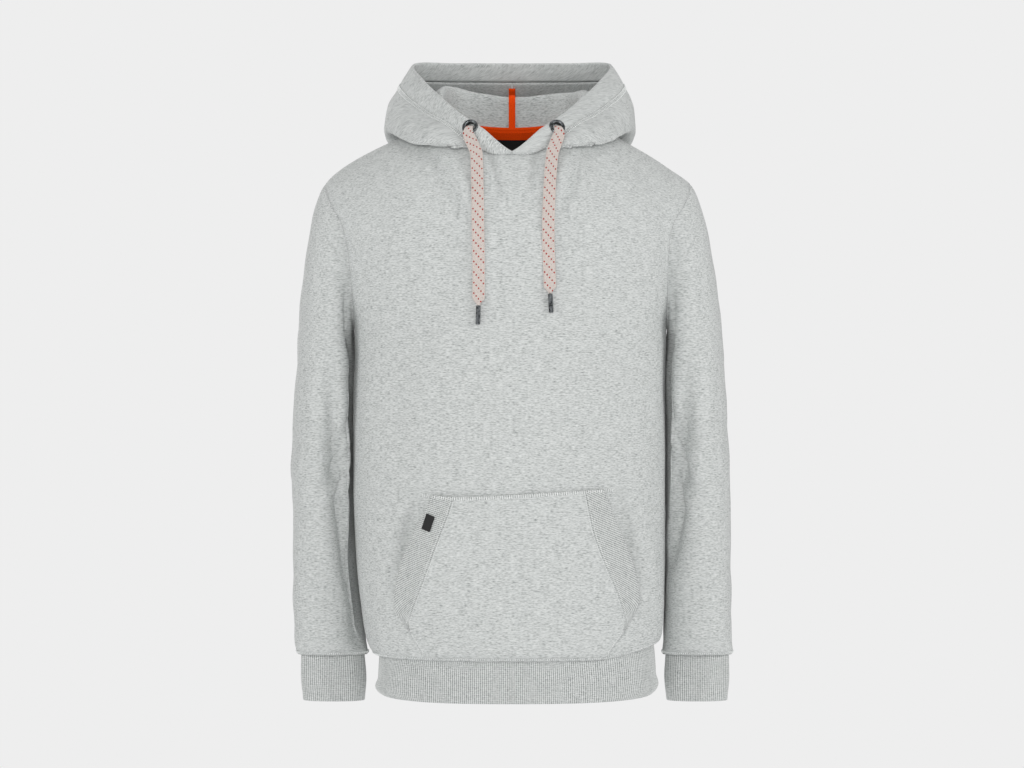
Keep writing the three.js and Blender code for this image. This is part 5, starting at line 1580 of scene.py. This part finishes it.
def body_threads(pitch):
    """Rows of thread on the body: across the hem seam, the cuff seams and the top of the pocket,
    and beside the seams of the trims and the foot of the pocket."""
    around = np.linspace(0, 2 * np.pi, 600)
    rows = [across_seam(hem_line(around, -696.0), hem_line(around, -690.5), *THREAD["hem"])]
    for which in SIDES:
        low, high = (sleeve_section(which, around, np.full(600, z)) for z in (-696.5, -691.0))
        rows.append(across_seam(low, high, *THREAD["sleeve"]))
    x = np.linspace(-114, 128, 200)
    z = np.full_like(x, POCKET["z"][-1])
    sewn = (x > -100)[:, None] & (x < 114)[:, None]
    level = z + pocket_sag(x, z)
    top = np.where(sewn, on_pocket(x, z, FLEECE), body_point(-1, x, level))
    rows.append(ladder(top, body_normal(-1, x, level), np.array([0, 0, -1]), 2.4,
                       *THREAD["pocket_top"]))
    for which, sign in SIDES.items():
        z = np.linspace(-482, -648, 160)
        edge = look(POCKET, "z", which, z)
        for shift, extra in ((-1.7, FLEECE + 0.5), (1.7, FLEECE + 0.35)):
            x = edge - sign * shift
            rows.append((on_pocket(x, z, extra), body_normal(-1, x, z), *THREAD["trim"], False))
        z = np.linspace(-652, -690, 40)
        x = look(POCKET, "z", which, z) - sign * 2.5
        rows.append((on_pocket(x, z, FLEECE), body_normal(-1, x, z), pitch, 2.3, 0.8, False))
    return rows


def hood_threads(pitch):
    """Rows of thread on the hood beside the seam of its band: two straight ones and a coverstitch
    between them."""
    rows = []
    for which, sign in SIDES.items():
        grid = hood_grid(sign, np.linspace(0.02, 1, 260), np.array([0.96, 0.975, 0.99, 1.0]))
        normals = outward(grid, 1)[-1]
        normals *= np.where(normals[130, 0] * sign < 0, -1, 1)
        seam, away = grid[-1], unit(grid[-2] - grid[-1])
        rows += [along_seam(seam, normals, away, distance, pitch, 2.5, 1.5) for distance in (1.2, 5.6)]
        rows.append(ladder(seam, normals, away, 3.4, *THREAD["hood_cover"]))
    return rows


class HOODIE_OT_stitching(bpy.types.Operator):
    """Sews the visible rows of thread beside and across the seams"""

    bl_idname = "hoodie.stitching"
    bl_label = "Stitching"

    def execute(self, context):
        thread = material(context, "polyester_sewing_thread")
        pitch = context.scene.hoodie_sizes.stitch * 1000
        stitches("body_stitching", body_threads(pitch), thread)
        stitches("hood_stitching", hood_threads(pitch), thread)
        return {"FINISHED"}


class HOODIE_OT_stage(bpy.types.Operator):
    """Puts up the camera, the soft lights and the plain pale ground"""

    bl_idname = "hoodie.stage"
    bl_label = "Camera, light and ground"

    def execute(self, context):
        scene = context.scene
        camera = bpy.data.objects.new("camera", bpy.data.cameras.new("camera"))
        camera.location = CAMERA["place"]
        camera.rotation_euler = (np.pi / 2, 0, 0)
        camera.data.lens = CAMERA["lens"]
        camera.data.sensor_width = CAMERA["sensor"]
        scene.collection.objects.link(camera)
        scene.camera = camera
        pale = linear(PALE)
        world = bpy.data.worlds.new("pale_studio")
        world.use_nodes = True
        tree = world.node_tree
        seen = add_node(tree, "ShaderNodeLightPath").outputs["Is Camera Ray"]
        strength = calculate(tree, "MULTIPLY_ADD", seen, 1 - STUDIO_GLOW, STUDIO_GLOW)
        tree.nodes["Background"].inputs["Color"].default_value = pale
        tree.links.new(strength, tree.nodes["Background"].inputs["Strength"])
        scene.world = world
        scene.view_settings.view_transform = "Standard"
        for name, place, size, power in LIGHTS:
            lamp = bpy.data.lights.new(name, "AREA")
            lamp.size, lamp.energy = size, power
            lamp.color = LIGHT_TINT
            lit = bpy.data.objects.new(name, lamp)
            lit.location = place
            aim = np.array(LIGHT_AIM) - np.array(place)
            yaw = np.arctan2(-aim[0], aim[1])
            pitch = np.arctan2(np.hypot(aim[0], aim[1]), -aim[2])
            lit.rotation_euler = (pitch, 0, yaw)
            scene.collection.objects.link(lit)
        ground = bpy.data.materials.new("plain_pale_ground")
        ground.use_nodes = True
        tree = ground.node_tree
        glow = add_node(tree, "ShaderNodeEmission", {"Color": pale, "Strength": 1.0})
        tree.links.new(glow.outputs[0], tree.nodes["Material Output"].inputs["Surface"])
        ways = ((-1, -1), (1, -1), (1, 1), (-1, 1))
        corners = [(GROUND_HALF * x, GROUND_HALF * y, GROUND_LEVEL) for x, y in ways]
        floor = make_mesh("floor", corners, [[0, 1, 2, 3]], np.zeros((1, 4, 2)), ground)
        return {"FINISHED"}


OPERATORS = (
    HOODIE_OT_drawcords, HOODIE_OT_metal, HOODIE_OT_body, HOODIE_OT_sleeves, HOODIE_OT_ribs,
    HOODIE_OT_hood, HOODIE_OT_pocket, HOODIE_OT_tapes, HOODIE_OT_stitching, HOODIE_OT_stage,
)


class HOODIE_PT_panel(bpy.types.Panel):
    """Lists the hoodie's sizes, colours and pieces in the sidebar"""

    bl_label = "Pullover hoodie"
    bl_idname = "HOODIE_PT_panel"
    bl_space_type = "VIEW_3D"
    bl_region_type = "UI"
    bl_category = "Hoodie"

    def draw(self, context):
        for group in (context.scene.hoodie_sizes, context.scene.hoodie_colours):
            box = self.layout.box()
            for name in group.__annotations__:
                box.prop(group, name)
        for operator in OPERATORS:
            self.layout.operator(operator.bl_idname)


CLASSES = (HoodieSizes, HoodieColours, *OPERATORS, HOODIE_PT_panel)


def register():
    """Registers the classes and puts sizes and colours on the scene."""
    for cls in CLASSES:
        bpy.utils.register_class(cls)
    bpy.types.Scene.hoodie_sizes = bpy.props.PointerProperty(type=HoodieSizes)
    bpy.types.Scene.hoodie_colours = bpy.props.PointerProperty(type=HoodieColours)


def unregister():
    """Takes them off again."""
    del bpy.types.Scene.hoodie_colours
    del bpy.types.Scene.hoodie_sizes
    for cls in reversed(CLASSES):
        bpy.utils.unregister_class(cls)


def main():
    """Makes every piece and the stage."""
    register()
    for operator in OPERATORS:
        group, name = operator.bl_idname.split(".")
        getattr(getattr(bpy.ops, group), name)()
    bpy.context.view_layer.update()


if __name__ == "__main__":
    main()
